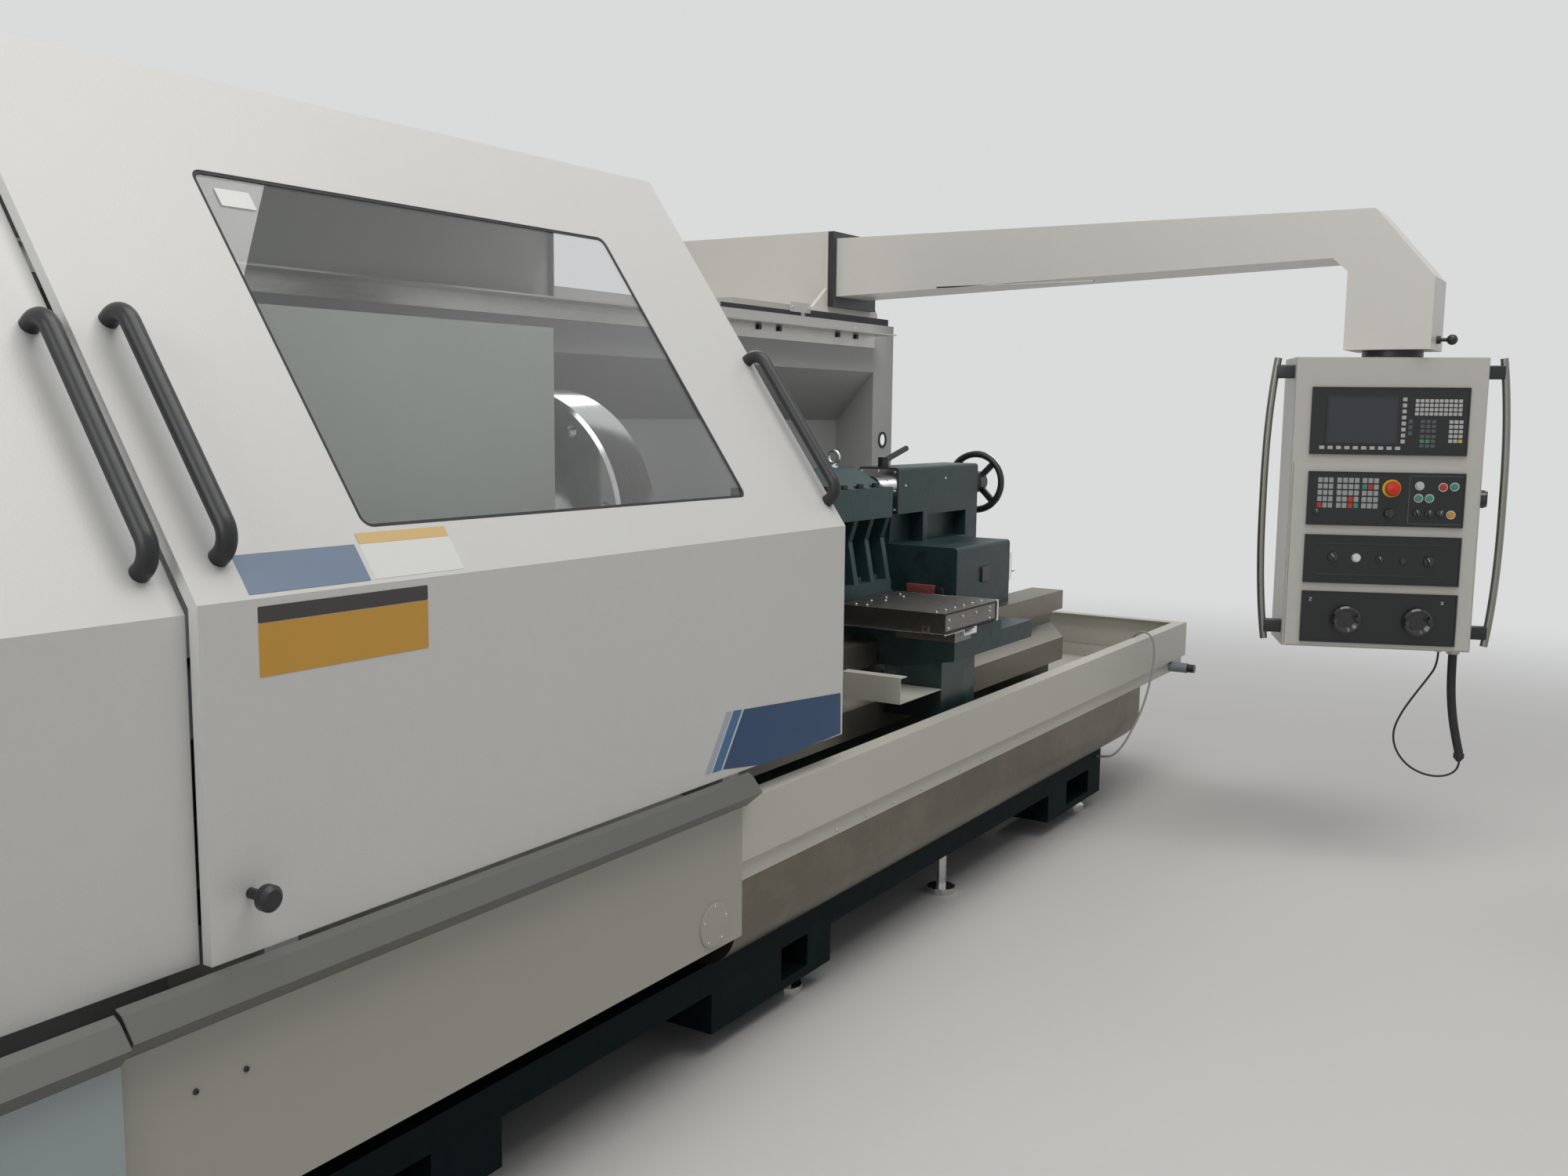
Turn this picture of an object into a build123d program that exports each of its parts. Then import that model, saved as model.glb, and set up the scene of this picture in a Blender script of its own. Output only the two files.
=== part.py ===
"""Flat-bed CNC turning lathe, 830 mm swing, about 2 m between centres.

Millimetres, +Z up, floor at Z = 0. +X runs along the bed from the headstock to the
tailstock, -Y is the operator's side. All levels and stations below are measured from the
spindle axis (Y = 0) and the floor; the whole machine is centred over its own base at the end.
"""
from build123d import *
import os
from math import hypot, pi, radians, tan

# Levels above the floor
SPINDLE_Z = 1233.0
SWING = 830.0
BED_TOP = SPINDLE_Z - SWING / 2
BASE_TOP = 235.0
GAUGE = 3.0
SLIDING_GAP = 0.3
RUNNING_GAP = 0.05

# Cast base and its feet
BASE_LEFT = -2880.0
BASE_RIGHT = 2254.0
BASE_FRONT = -550.0
BASE_BACK = 450.0
DECK_DEPTH = 75.0
PLINTH_BOTTOM = 60.0
PLINTHS = ((-2880.0, -2420.0), (-1600.0, -1020.0), (-330.0, 212.0), (1730.0, BASE_RIGHT))
FORK_POCKETS = ((-2650.0, 220.0), (-1310.0, 220.0), (33.0, 125.0), (2015.0, 220.0))
FORK_POCKET_BOTTOM = 85.0
FORK_POCKET_TOP = 170.0
DECK_WINDOW = 560.0
DECK_WINDOWS = 7
FOOT_STATIONS = (BASE_LEFT + 100.0, -1300.0, 100.0, 1019.0, BASE_RIGHT - 104.0)
FOOT_ROWS = (-480.0, 380.0)
FOOT_PAD_RADIUS = 45.0
FOOT_PAD_HEIGHT = 20.0
FOOT_SCREW_RADIUS = 15.0

# Bed casting
BED_LEFT = -1700.0
BED_RIGHT = 2330.0
BED_HALF = 345.0
WAY_WIDTH = 130.0
WAY_DEPTH = 73.0
BED_WALL = 40.0
BED_WALL_OUT = 295.0
BED_FLANGE_OUT = 330.0
BED_FLANGE_DEPTH = 30.0
RIB_PITCH = 560.0
RIB_THICKNESS = 30.0

# Longitudinal ball screw, behind the bed
SCREW_BEHIND_BED = 67.0
Z_SCREW_Y = BED_HALF + SCREW_BEHIND_BED
Z_SCREW_Z = 735.0
Z_SCREW_RADIUS = 25.0
Z_SCREW_LEFT = -560.0
Z_SCREW_RIGHT = 1600.0
SCREW_BLOCK = 40.0
SERVO_SIDE = 124.0
SERVO_LENGTH = 320.0

# Chip tray and drip pan
TRAY_FRONT = -650.0
TRAY_BACK = 650.0
TRAY_LEFT = -355.0
TRAY_RIGHT = 2970.0
RIM_TOP = 640.0
RIM_BOTTOM = 500.0
RIM_FLANGE = 48.0
STRIP_BOTTOM = 450.0
STRIP_INSET = 13.0
PAN_CORNER = 110.0
PAN_RIGHT = 2440.0
DRAIN_X = 2800.0
DRAIN_Z = 475.0
DRAIN_RADIUS = 20.0
DRAIN_BORE = 16.0
DRAIN_REACH = 62.0
DRAIN_CAP = 28.0

# Chip chute along the bed's front wall
CHUTE_TOP = 687.0
CHUTE_FOLD_Y = -352.0
CHUTE_FOLD_Z = 633.0
CHUTE_BOTTOM = 545.0

# Fixed panels below the doors
PANEL_LEFT = -1840.0
PANEL_BOTTOM = 330.0
PANEL_TOP = 628.0
LEFT_PANEL_FRONT = -665.0
NOSE_GAUGE = 2.0
COVER_NOSE_Y = -693.0
COVER_NOSE_Z = 664.0
COVER_TOP_Y = -668.0
COVER_TOP_Z = 697.0

# Sliding doors
DOOR_FRONT = -650.0
DOOR_BOTTOM = 710.0
DOOR_BEND = 1227.0
DOOR_CREST_Y = -50.0
DOOR_CREST_Z = 2085.0
DOOR_ROOF_BACK = 300.0
DOOR_ROOF_DROP = 90.0
UPPER_RAIL_TOP = 1801.0
UPPER_RAIL_FRONT = 250.0
DOOR_STEP = 25.0
DOOR_RETURN = 20.0
RIGHT_DOOR_LEFT = -1694.0
RIGHT_DOOR_RIGHT = 82.0
LEFT_DOOR_LEFT = -2900.0
LEFT_DOOR_RIGHT = -1696.0
SHOE_LENGTH = 60.0
WINDOW_LEFT = -1350.0
WINDOW_RIGHT = -260.0
WINDOW_LOW = 101.0
WINDOW_HIGH = 821.0
WINDOW_CORNER = 22.0
WINDOW_LAP = 16.0
WINDOW_THICKNESS = 5.0
HANDLE_RADIUS = 15.0
HANDLE_LOW = 71.0
HANDLE_SPAN = 413.0
HANDLE_STAND = 58.0
HANDLE_BEND = 34.0
RIGHT_DOOR_HANDLES = (-1629.0, 60.0)
LEFT_DOOR_HANDLE = -1735.0
PLUNGER_X = -1626.0
PLUNGER_Z = 800.0
PLUNGER_STEM = 8.0
PLUNGER_KNOB = 20.0

# Rear guard
GUARD_RIGHT = 2180.0
GUARD_FRONT = 350.0
GUARD_TOP = 1842.0
GUARD_FASCIA_LOW = 1658.0
GUARD_RECESS_Y = 515.0
GUARD_RECESS_TOP = 1470.0
GUARD_TOP_BACK = 600.0
GUARD_POST_WIDTH = 161.0
GUARD_HOLE_X = 2101.0
GUARD_HOLE_Z = 1393.0
GUARD_HOLE_RADIUS = 27.0

# Headstock, spindle and chuck
HEAD_LEFT = -1650.0
HEAD_RIGHT = -480.0
HEAD_HALF = 165.0
HEAD_FOOT_HALF = 300.0
HEAD_FOOT_TOP = 950.0
HEAD_TOP = 1440.0
SPINDLE_LEFT = -1850.0
SPINDLE_RADIUS = 90.0
SPINDLE_BORE = 52.0
SPINDLE_NOSE_RADIUS = 150.0
SPINDLE_NOSE_THICKNESS = 32.0
BEARING_RADIUS = 140.0
BEARING_WIDTH = 60.0
CHUCK_BACK = -370.0
CHUCK_DEPTH = 140.0
CHUCK_RADIUS = 315.0
CHUCK_HOLE = 80.0
JAW_WIDTH = 70.0
JAW_SLOT_DEPTH = 45.0
JAW_INNER = 110.0
JAW_STEP = 190.0
JAW_OUTER = 285.0
JAW_PROUD = 90.0
JAW_COUNT = 3
COVER_FRONT = -190.0
COVER_BACK = 320.0
COVER_RIGHT = -450.0
COVER_CEILING = 1680.0
COVER_FLOOR = 1065.0

# Main drive at the left end
PULLEY_LEFT = -1810.0
PULLEY_WIDTH = 80.0
SPINDLE_PULLEY_RADIUS = 180.0
MOTOR_PULLEY_RADIUS = 90.0
MOTOR_Z = 520.0
MOTOR_RADIUS = 170.0
MOTOR_LEFT = -2480.0
MOTOR_SHAFT = 30.0
BELT_THICKNESS = 10.0
END_COVER_FRONT = -560.0
END_COVER_BACK = 440.0
END_COVER_RIGHT = BED_LEFT - 5.0
END_COVER_BEND = 1180.0
END_COVER_CREST = -190.0
END_COVER_TOP = 1700.0

# Saddle, apron and cross slide
SADDLE_LEFT = 820.0
SADDLE_RIGHT = 1402.0
BRIDGE_RIGHT = 1240.0
SADDLE_FRONT = -600.0
SADDLE_BEHIND_SCREW = 48.0
SADDLE_BACK = Z_SCREW_Y + SADDLE_BEHIND_SCREW
SADDLE_BOTTOM = 778.0
WING_ROOT_Y = -420.0
WING_ROOT_LOW = 745.0
WING_BOSS_LEFT = 930.0
WING_BOSS_RIGHT = 1155.0
SADDLE_WING_TOP = 834.0
BRIDGE_TOP = 866.0
DOVETAIL_LEFT = 860.0
DOVETAIL_RIGHT = 1080.0
DOVETAIL_HEIGHT = 22.0
DOVETAIL_FLARE = 14.0
APRON_LEFT = 820.0
APRON_RIGHT = 1050.0
APRON_BOTTOM = 600.0
APRON_FRONT = -560.0
APRON_BACK = -370.0
LEDGE_LEFT = 560.0
LEDGE_FRONT = -560.0
LEDGE_TOP = 765.0
LEDGE_BOTTOM = 690.0
LEDGE_WIDTH = 40.0
CROSS_LEFT = 765.0
CROSS_RIGHT = 1240.0
CROSS_FRONT = -172.0
CROSS_BACK = 200.0
CROSS_TOP = 915.0
X_SCREW_X = 1165.0
X_SCREW_Z = 848.0
X_SCREW_RADIUS = 14.0
X_NUT_RADIUS = 22.0
COVER_BOX_LEFT = 735.0
COVER_BOX_RIGHT = 1100.0
COVER_BOX_FRONT = -606.0
COVER_BOX_BACK = -252.0
COVER_BOX_TOP = 930.0
COVER_BOX_BOTTOM = 871.0

# Boring bar holder
HOLDER_LEFT = 775.0
HOLDER_RIGHT = 1225.0
HOLDER_HALF = 170.0
HOLDER_FOOT_TOP = 955.0
HOLDER_BLOCK_LOW = 1160.0
HOLDER_BORE = 60.0
HOLDER_WEB_HALF = 62.0
HOLDER_RIB = 26.0
HOLDER_RIBS = 5
HOLDER_CROWN = 88.0
HOLDER_LIP = 26.0
HOLDER_BOLT_PITCH = 103.0
HOLDER_BOLTS = 4

# Tailstock
TAIL_BARREL_LEFT = 1437.0
TAIL_BARREL_RIGHT = 2085.0
TAIL_BARREL_HALF = 79.0
TAIL_POST_LEFT = 1630.0
TAIL_BASE_LEFT = 1455.0
TAIL_BASE_RIGHT = 1900.0
TAIL_BASE_HALF = 300.0
TAIL_BASE_TOP = 1045.0
TAIL_CORNER = 12.0
TAIL_POCKET_LEFT = 1668.0
TAIL_POCKET_RIGHT = 1985.0
TAIL_POCKET_DEPTH = 52.0
TAIL_WEB_HALF = 25.0
TAIL_BOSS_REACH = 100.0
TAIL_BOSS_WAIST = 33.0
TAIL_BOSS_ROOT = 43.0
TAIL_BOSS_END = 50.0
TAIL_POCKET_TOP = 1140.0
QUILL_RADIUS = 50.0
QUILL_LEFT = 1372.0
QUILL_LENGTH = 460.0
QUILL_SOCKET = 22.0
QUILL_SOCKET_TAPER = 6.0
QUILL_SOCKET_DEPTH = 140.0
QUILL_SCREW_START = 200.0
QUILL_SCREW_END = 240.0
TAIL_SHAFT_RADIUS = 20.0
HANDWHEEL_STAND = 155.0
HANDWHEEL_X = TAIL_BARREL_RIGHT + HANDWHEEL_STAND
HANDWHEEL_RADIUS = 122.0
HANDWHEEL_RIM = 13.0
HANDWHEEL_HUB = 42.0
LEVER_X = 1470.0
LEVER_LENGTH = 175.0
LEVER_TILT = 14.0

# Pendant arm and the cabinet that carries it
ARM_LEFT = 2080.0
ARM_WIDTH = 250.0
ARM_WALL = 5.0
ARM_ROOT_Y = 560.0
FLANGE_LOW = 1921.0
FLANGE_RIM_LOW = 41.0
FLANGE_RIM_TOP = 26.0
ARM_ROOT_DEPTH = 228.0
ARM_LOW_ROOT = FLANGE_LOW + FLANGE_RIM_LOW
ARM_TOP = ARM_LOW_ROOT + ARM_ROOT_DEPTH
FLANGE_TOP = ARM_TOP + FLANGE_RIM_TOP
ARM_FALL = 15.0
ARM_ELBOW_DEPTH = 153.0
ARM_ELBOW_TOP = ARM_TOP - ARM_FALL
ARM_ELBOW_Y = -1458.0
ARM_NOSE_Y = -1648.0
ARM_NOSE_Z = ARM_ELBOW_TOP - 224.0
ARM_DROP_BACK = -1383.0
ARM_DROP_BOTTOM = 1722.0
ARM_LOW_ELBOW = ARM_ELBOW_TOP - ARM_ELBOW_DEPTH
FLANGE_THICKNESS = 25.0
FLANGE_OPENING_EDGE = 50.0
FLANGE_LEFT = 2055.0
FLANGE_RIGHT = 2405.0
BRACKET_LEFT = 1940.0
BRACKET_RIGHT = 2470.0
BRACKET_THICKNESS = 15.0
ARM_BOX_BACK = 1340.0
CABINET_LEFT = 1500.0
CABINET_RIGHT = 2440.0
CABINET_FRONT = 662.0
CABINET_BACK = 1200.0

# Swivelling control pendant, in its own frame: x to the right of a person facing it,
# y into the box, origin on the swivel axis at floor level
PENDANT_TURN = -69.0
PIVOT_X = ARM_LEFT + ARM_WIDTH / 2
PIVOT_Y = (ARM_NOSE_Y + ARM_DROP_BACK) / 2
DISC_RADIUS = 95.0
DISC_HEIGHT = 20.0
PENDANT_HALF = 295.0
PENDANT_CENTRE = -26.0
PENDANT_FRONT = -136.0
PENDANT_DEPTH = 250.0
PENDANT_BOTTOM = 740.0
PENDANT_TOP = 1696.0
PENDANT_PROUD = 12.0
PENDANT_PROUD_TOP = 1350.0
PENDANT_WALL = 4.0
PANEL_WIDTH = 483.0
PANEL_THICKNESS = 8.0
PANELS = ((1381.0, 219.0), (1149.0, 176.0), (957.0, 160.0), (759.0, 170.0))
STOP_X = 18.0
STOP_Z = 1273.0
STOP_RADIUS = 24.0
STOP_STROKE = 6.0
OVERRIDE_X = 13.0
OVERRIDE_Z = 1192.0
OVERRIDE_RADIUS = 16.0
HANDWHEEL_OFFSETS = (-101.0, 121.0)
ELECTRONIC_WHEEL_Z = 838.0
ELECTRONIC_WHEEL_RADIUS = 45.0
GRIP_REACH = 52.0
GRIP_BOW = 26.0
GRIP_LOW = 800.0
GRIP_HIGH = 1650.0
GRIP_RADIUS = 12.0
KNOB_Z = 1756.0
KNOB_RADIUS = 17.0
KNOB_STEM = 6.0
STEM_RADIUS = 7.0

# Free cords: outside diameter and the points that each route is drawn through
CONDUIT_DIAMETER = 28.0
CONDUIT_ROUTE = (
    (236.0, -62.0, 722.0), (236.0, -62.0, 640.0), (243.0, -61.0, 550.0),
    (258.0, -60.0, 460.0), (278.0, -58.0, 385.0))
CABLE_DIAMETER = 7.0
CABLE_ROUTE = (
    (278.0, -58.0, 383.0), (284.0, -58.0, 356.0), (270.0, -60.0, 318.0),
    (226.0, -63.0, 300.0), (168.0, -66.0, 306.0), (112.0, -69.0, 336.0),
    (72.0, -70.0, 390.0), (62.0, -70.0, 450.0), (84.0, -69.0, 512.0),
    (120.0, -67.0, 572.0), (160.0, -65.0, 632.0), (190.0, -64.0, 682.0), (190.0, -64.0, 727.0))
TRAY_CABLE_DIAMETER = 8.0
TRAY_CABLE_ROUTE = (
    (2500.0, -505.0, 453.0), (2499.0, -508.0, 505.0), (2492.0, -532.0, 558.0),
    (2482.0, -566.0, 604.0), (2475.0, -592.0, 646.0),
    (2468.0, -628.0, 664.0), (2460.0, -666.0, 648.0), (2450.0, -682.0, 600.0),
    (2436.0, -684.0, 540.0), (2412.0, -682.0, 480.0), (2380.0, -678.0, 420.0),
    (2340.0, -670.0, 360.0), (2296.0, -656.0, 305.0), (2258.0, -640.0, 255.0),
    (2225.0, -618.0, 218.0), (2210.0, -590.0, 205.0), (2210.0, -550.0, 205.0))

pieces = {}


def face_of(outline):
    """A closed flat face from its corner points."""
    return make_face(Polyline(*outline, close=True))


def along_x(outline, left, right):
    """Carry a (y, z) outline along X."""
    return extrude(Plane.YZ.offset(left) * face_of(outline), right - left)


def along_y(outline, front, back):
    """Carry an (x, z) outline along Y."""
    plane = Plane(origin=(0, back, 0), x_dir=(1, 0, 0), z_dir=(0, -1, 0))
    return extrude(plane * face_of(outline), back - front)


def along_z(outline, low, high):
    """Carry an (x, y) outline up Z."""
    return extrude(Plane.XY.offset(low) * face_of(outline), high - low)


def block(left, right, front, back, low, high):
    """A rectangular block given by its six sides."""
    centre = Pos((left + right) / 2, (front + back) / 2, (low + high) / 2)
    return centre * Box(right - left, back - front, high - low)


def round_x(left, right, y, z, radius):
    """A round bar along X."""
    return Pos((left + right) / 2, y, z) * Rot(0, 90, 0) * Cylinder(radius, right - left)


def round_y(x, front, back, z, radius):
    """A round bar along Y."""
    return Pos(x, (front + back) / 2, z) * Rot(90, 0, 0) * Cylinder(radius, back - front)


def round_z(x, y, low, high, radius):
    """A round bar up Z."""
    return Pos(x, y, (low + high) / 2) * Cylinder(radius, high - low)


def sheet_outline(path, gauge):
    """The outline of a folded sheet: the path, and back along its mitred right-hand offset."""
    points = [Vector(*point) for point in path]
    runs = [(b - a).normalized() for a, b in zip(points, points[1:])]
    inner = []
    for index, point in enumerate(points):
        before = runs[max(index - 1, 0)]
        after = runs[min(index, len(runs) - 1)]
        sides = Vector(before.Y, -before.X), Vector(after.Y, -after.X)
        mitre = (sides[0] + sides[1]) / (1 + sides[0].dot(sides[1]))
        inner.append(point + mitre * gauge)
    return [(p.X, p.Y) for p in points + inner[::-1]]


def folded_sheet(path, left, right, gauge=GAUGE):
    """A sheet folded along a (y, z) path, its thickness on the right of the path."""
    return along_x(sheet_outline(path, gauge), left, right)


def tube(points, radii, radius):
    """A round bar swept along straight runs joined by tangent arcs."""
    path = FilletPolyline(*points, radius=radii)
    section = Plane(origin=path @ 0, z_dir=path % 0) * Circle(radius)
    return sweep(section, path=path)


# Base, feet and bed


def make_base():
    """Cast base: a deck with windows on plinths that have fork pockets."""
    deck_low = BASE_TOP - DECK_DEPTH
    base = block(BASE_LEFT, BASE_RIGHT, BASE_FRONT, BASE_BACK, deck_low, BASE_TOP)
    for left, right in PLINTHS:
        base += block(left, right, BASE_FRONT, BASE_BACK, PLINTH_BOTTOM, deck_low)
    for centre, width in FORK_POCKETS:
        base -= block(centre - width / 2, centre + width / 2, BASE_FRONT - 1, BASE_BACK + 1,
                      FORK_POCKET_BOTTOM, FORK_POCKET_TOP)
    pitch = (BASE_RIGHT - BASE_LEFT) / DECK_WINDOWS
    middle = (BASE_FRONT + BASE_BACK) / 2
    for index in range(DECK_WINDOWS):
        centre = BASE_LEFT + pitch * (index + 0.5)
        base -= block(centre - DECK_WINDOW / 2, centre + DECK_WINDOW / 2,
                      middle - DECK_WINDOW / 2, middle + DECK_WINDOW / 2,
                      PLINTH_BOTTOM - 1, BASE_TOP + 1)
    return base


def make_feet():
    """Levelling feet: a twelve-sided pad and a hexagonal screw up to the casting."""
    feet = []
    for x in FOOT_STATIONS:
        on_plinth = any(left <= x <= right for left, right in PLINTHS)
        reach = PLINTH_BOTTOM if on_plinth else BASE_TOP - DECK_DEPTH
        for y in FOOT_ROWS:
            pad = extrude(Pos(x, y, 0) * RegularPolygon(FOOT_PAD_RADIUS, 12), FOOT_PAD_HEIGHT)
            screw = extrude(Pos(x, y, 0) * RegularPolygon(FOOT_SCREW_RADIUS, 6), reach)
            feet.append(pad + screw)
    return Compound(children=feet)


def make_bed():
    """Cast bed: two flat ways on box walls tied by cross ribs, with ball screw brackets."""
    way_low = BED_TOP - WAY_DEPTH
    bed = None
    for side in (-1, 1):
        wall = [(BED_FLANGE_OUT, BASE_TOP), (BED_FLANGE_OUT, BASE_TOP + BED_FLANGE_DEPTH),
                (BED_WALL_OUT, BASE_TOP + BED_FLANGE_DEPTH), (BED_WALL_OUT, way_low),
                (BED_HALF, way_low), (BED_HALF, BED_TOP), (BED_HALF - WAY_WIDTH, BED_TOP),
                (BED_HALF - WAY_WIDTH, way_low), (BED_WALL_OUT - BED_WALL, way_low),
                (BED_WALL_OUT - BED_WALL, BASE_TOP)]
        beam = along_x([(side * y, z) for y, z in wall], BED_LEFT, BED_RIGHT)
        bed = beam if bed is None else bed + beam
    ribs = int((BED_RIGHT - BED_LEFT) / RIB_PITCH) + 1
    pitch = (BED_RIGHT - BED_LEFT - RIB_THICKNESS) / (ribs - 1)
    inside = BED_WALL_OUT - BED_WALL
    for index in range(ribs):
        left = BED_LEFT + pitch * index
        bed += block(left, left + RIB_THICKNESS, -inside, inside, BASE_TOP, way_low)
    for left in (Z_SCREW_LEFT, Z_SCREW_RIGHT - SCREW_BLOCK):
        bed += block(left, left + SCREW_BLOCK, BED_WALL_OUT, Z_SCREW_Y + 45,
                     Z_SCREW_Z - 45, Z_SCREW_Z + 45)
        bed -= round_x(left - 1, left + SCREW_BLOCK + 1, Z_SCREW_Y, Z_SCREW_Z,
                       Z_SCREW_RADIUS + RUNNING_GAP)
    return bed


def make_chute():
    """Folded guard that throws chips from the bed's front wall into the pan."""
    wall = -BED_WALL_OUT - GAUGE
    path = [(CHUTE_FOLD_Y, CHUTE_BOTTOM), (CHUTE_FOLD_Y, CHUTE_FOLD_Z), (wall, CHUTE_TOP),
            (wall, CHUTE_TOP + 15)]
    return folded_sheet(path, TRAY_LEFT + 10, BED_RIGHT)


# Tray, pan and fixed panels


def tub(left, right, half, low, high, corner):
    """A solid tub shape: its long bottom edges and its right bottom edge are rounded."""
    shape = block(left, right, -half, half, low, high)
    bottom = shape.edges().group_by(Axis.Z)[0]
    rounded = bottom.filter_by(Axis.X) + [bottom.filter_by(Axis.Y).sort_by(Axis.X)[-1]]
    return fillet(rounded, corner)


def make_pan():
    """Stainless drip pan around the bed, open on top, its walls rounded into the floor."""
    half = TRAY_BACK - STRIP_INSET - GAUGE
    right = TRAY_RIGHT - STRIP_INSET - GAUGE
    outer = tub(TRAY_LEFT, PAN_RIGHT, half, BASE_TOP, RIM_BOTTOM, PAN_CORNER)
    outer += block(PAN_RIGHT - GAUGE, right, -half, half, STRIP_BOTTOM, RIM_BOTTOM)
    inner = tub(TRAY_LEFT + GAUGE, PAN_RIGHT - GAUGE, half - GAUGE, BASE_TOP + GAUGE,
                RIM_BOTTOM + 1, PAN_CORNER - GAUGE)
    inner += block(PAN_RIGHT - GAUGE - 1, right - GAUGE, GAUGE - half, half - GAUGE,
                   STRIP_BOTTOM + GAUGE, RIM_BOTTOM + 1)
    bed_hole = block(TRAY_LEFT - 1, BED_RIGHT + 1, -BED_FLANGE_OUT - 1, BED_FLANGE_OUT + 1,
                     BASE_TOP - 1, RIM_BOTTOM + 1)
    wall = TRAY_FRONT + STRIP_INSET
    hole = round_y(DRAIN_X, wall, wall + 2 * GAUGE + 1, DRAIN_Z, DRAIN_BORE)
    return outer - inner - bed_hole - hole


def ring_walls(step, low, high):
    """Sheet walls along the tray's front, right end and back, moved in from its edge."""
    outer = block(TRAY_LEFT, TRAY_RIGHT - step, TRAY_FRONT + step, TRAY_BACK - step, low, high)
    inner = block(TRAY_LEFT - 1, TRAY_RIGHT - step - GAUGE, TRAY_FRONT + step + GAUGE,
                  TRAY_BACK - step - GAUGE, low - 1, high + 1)
    return outer - inner


def make_tray():
    """Painted tray rim: a turned-in top flange, a deep face and a strip stepped in below."""
    tray = ring_walls(0, RIM_BOTTOM, RIM_TOP)
    shelf_out = block(TRAY_LEFT, TRAY_RIGHT, TRAY_FRONT, TRAY_BACK, RIM_TOP - GAUGE, RIM_TOP)
    shelf_in = block(TRAY_LEFT - 1, TRAY_RIGHT - RIM_FLANGE, TRAY_FRONT + RIM_FLANGE,
                     TRAY_BACK - RIM_FLANGE, RIM_TOP - GAUGE - 1, RIM_TOP + 1)
    ledge_out = block(TRAY_LEFT, TRAY_RIGHT, TRAY_FRONT, TRAY_BACK, RIM_BOTTOM,
                      RIM_BOTTOM + GAUGE)
    ledge_in = block(TRAY_LEFT - 1, TRAY_RIGHT - STRIP_INSET - 2 * GAUGE,
                     TRAY_FRONT + STRIP_INSET + 2 * GAUGE, TRAY_BACK - STRIP_INSET - 2 * GAUGE,
                     RIM_BOTTOM - 1, RIM_BOTTOM + GAUGE + 1)
    tray += (shelf_out - shelf_in) + (ledge_out - ledge_in)
    tray += ring_walls(STRIP_INSET, STRIP_BOTTOM, RIM_BOTTOM + GAUGE)
    wall = TRAY_FRONT + STRIP_INSET
    hole = round_y(DRAIN_X, wall - 1, wall + GAUGE, DRAIN_Z, DRAIN_BORE)
    return tray - hole


def make_drain():
    """Overflow pipe out of the tray's front strip, closed by a cap."""
    wall = TRAY_FRONT + STRIP_INSET
    end = TRAY_FRONT - DRAIN_REACH
    pipe = round_y(DRAIN_X, end, wall, DRAIN_Z, DRAIN_RADIUS)
    pipe -= round_y(DRAIN_X, end + 5, wall + 1, DRAIN_Z, DRAIN_BORE)
    return pipe + round_y(DRAIN_X, end - DRAIN_CAP, end, DRAIN_Z, DRAIN_BORE + 1)


def make_front_panel():
    """Fixed panel under the doors: face, bottom return and a top shelf back to the bed."""
    path = [(DOOR_FRONT + 60, PANEL_BOTTOM), (DOOR_FRONT, PANEL_BOTTOM),
            (DOOR_FRONT, PANEL_TOP), (-BED_WALL_OUT, PANEL_TOP)]
    panel = folded_sheet(path, PANEL_LEFT, TRAY_LEFT)
    shelf_end = block(PANEL_LEFT - 1, BED_LEFT, DOOR_FRONT + 60, 0, PANEL_TOP - 10, PANEL_TOP + 1)
    return panel - shelf_end


def make_left_panel():
    """Separate panel at the left end, a little proud of the long one."""
    path = [(END_COVER_FRONT, PANEL_BOTTOM), (LEFT_PANEL_FRONT, PANEL_BOTTOM),
            (LEFT_PANEL_FRONT, PANEL_TOP), (END_COVER_FRONT, PANEL_TOP)]
    return folded_sheet(path, BASE_LEFT, PANEL_LEFT - 6)


def make_rail_cover():
    """Folded nosing over the lower door rail, in a long and a short length."""
    nose = [(DOOR_FRONT - NOSE_GAUGE, PANEL_TOP), (COVER_NOSE_Y, COVER_NOSE_Z), (COVER_TOP_Y, COVER_TOP_Z),
            (DOOR_FRONT - 4, COVER_TOP_Z + 7)]
    long_piece = folded_sheet(nose, PANEL_LEFT - 3, TRAY_LEFT + 15, NOSE_GAUGE)
    left_nose = [(LEFT_PANEL_FRONT, PANEL_TOP), (COVER_NOSE_Y, COVER_NOSE_Z - 6),
                 (COVER_TOP_Y, COVER_TOP_Z - 8), (DOOR_FRONT - 4, COVER_TOP_Z)]
    short_piece = folded_sheet(left_nose, BASE_LEFT, PANEL_LEFT - 6, NOSE_GAUGE)
    return Compound(children=[long_piece, short_piece])


def make_rails():
    """Lower rail on the panel's shelf, level with the tray rim, and upper rail on the guard."""
    lower = block(BASE_LEFT, TRAY_LEFT, TRAY_FRONT + 5, TRAY_FRONT + RIM_FLANGE,
                  PANEL_TOP, RIM_TOP)
    upper_path = [(UPPER_RAIL_FRONT, UPPER_RAIL_TOP), (GUARD_FRONT, UPPER_RAIL_TOP),
                  (GUARD_FRONT, UPPER_RAIL_TOP - 50)]
    upper = folded_sheet(upper_path, BASE_LEFT, GUARD_RIGHT - GUARD_POST_WIDTH, 5.0)
    return lower, upper


# Doors


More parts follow.
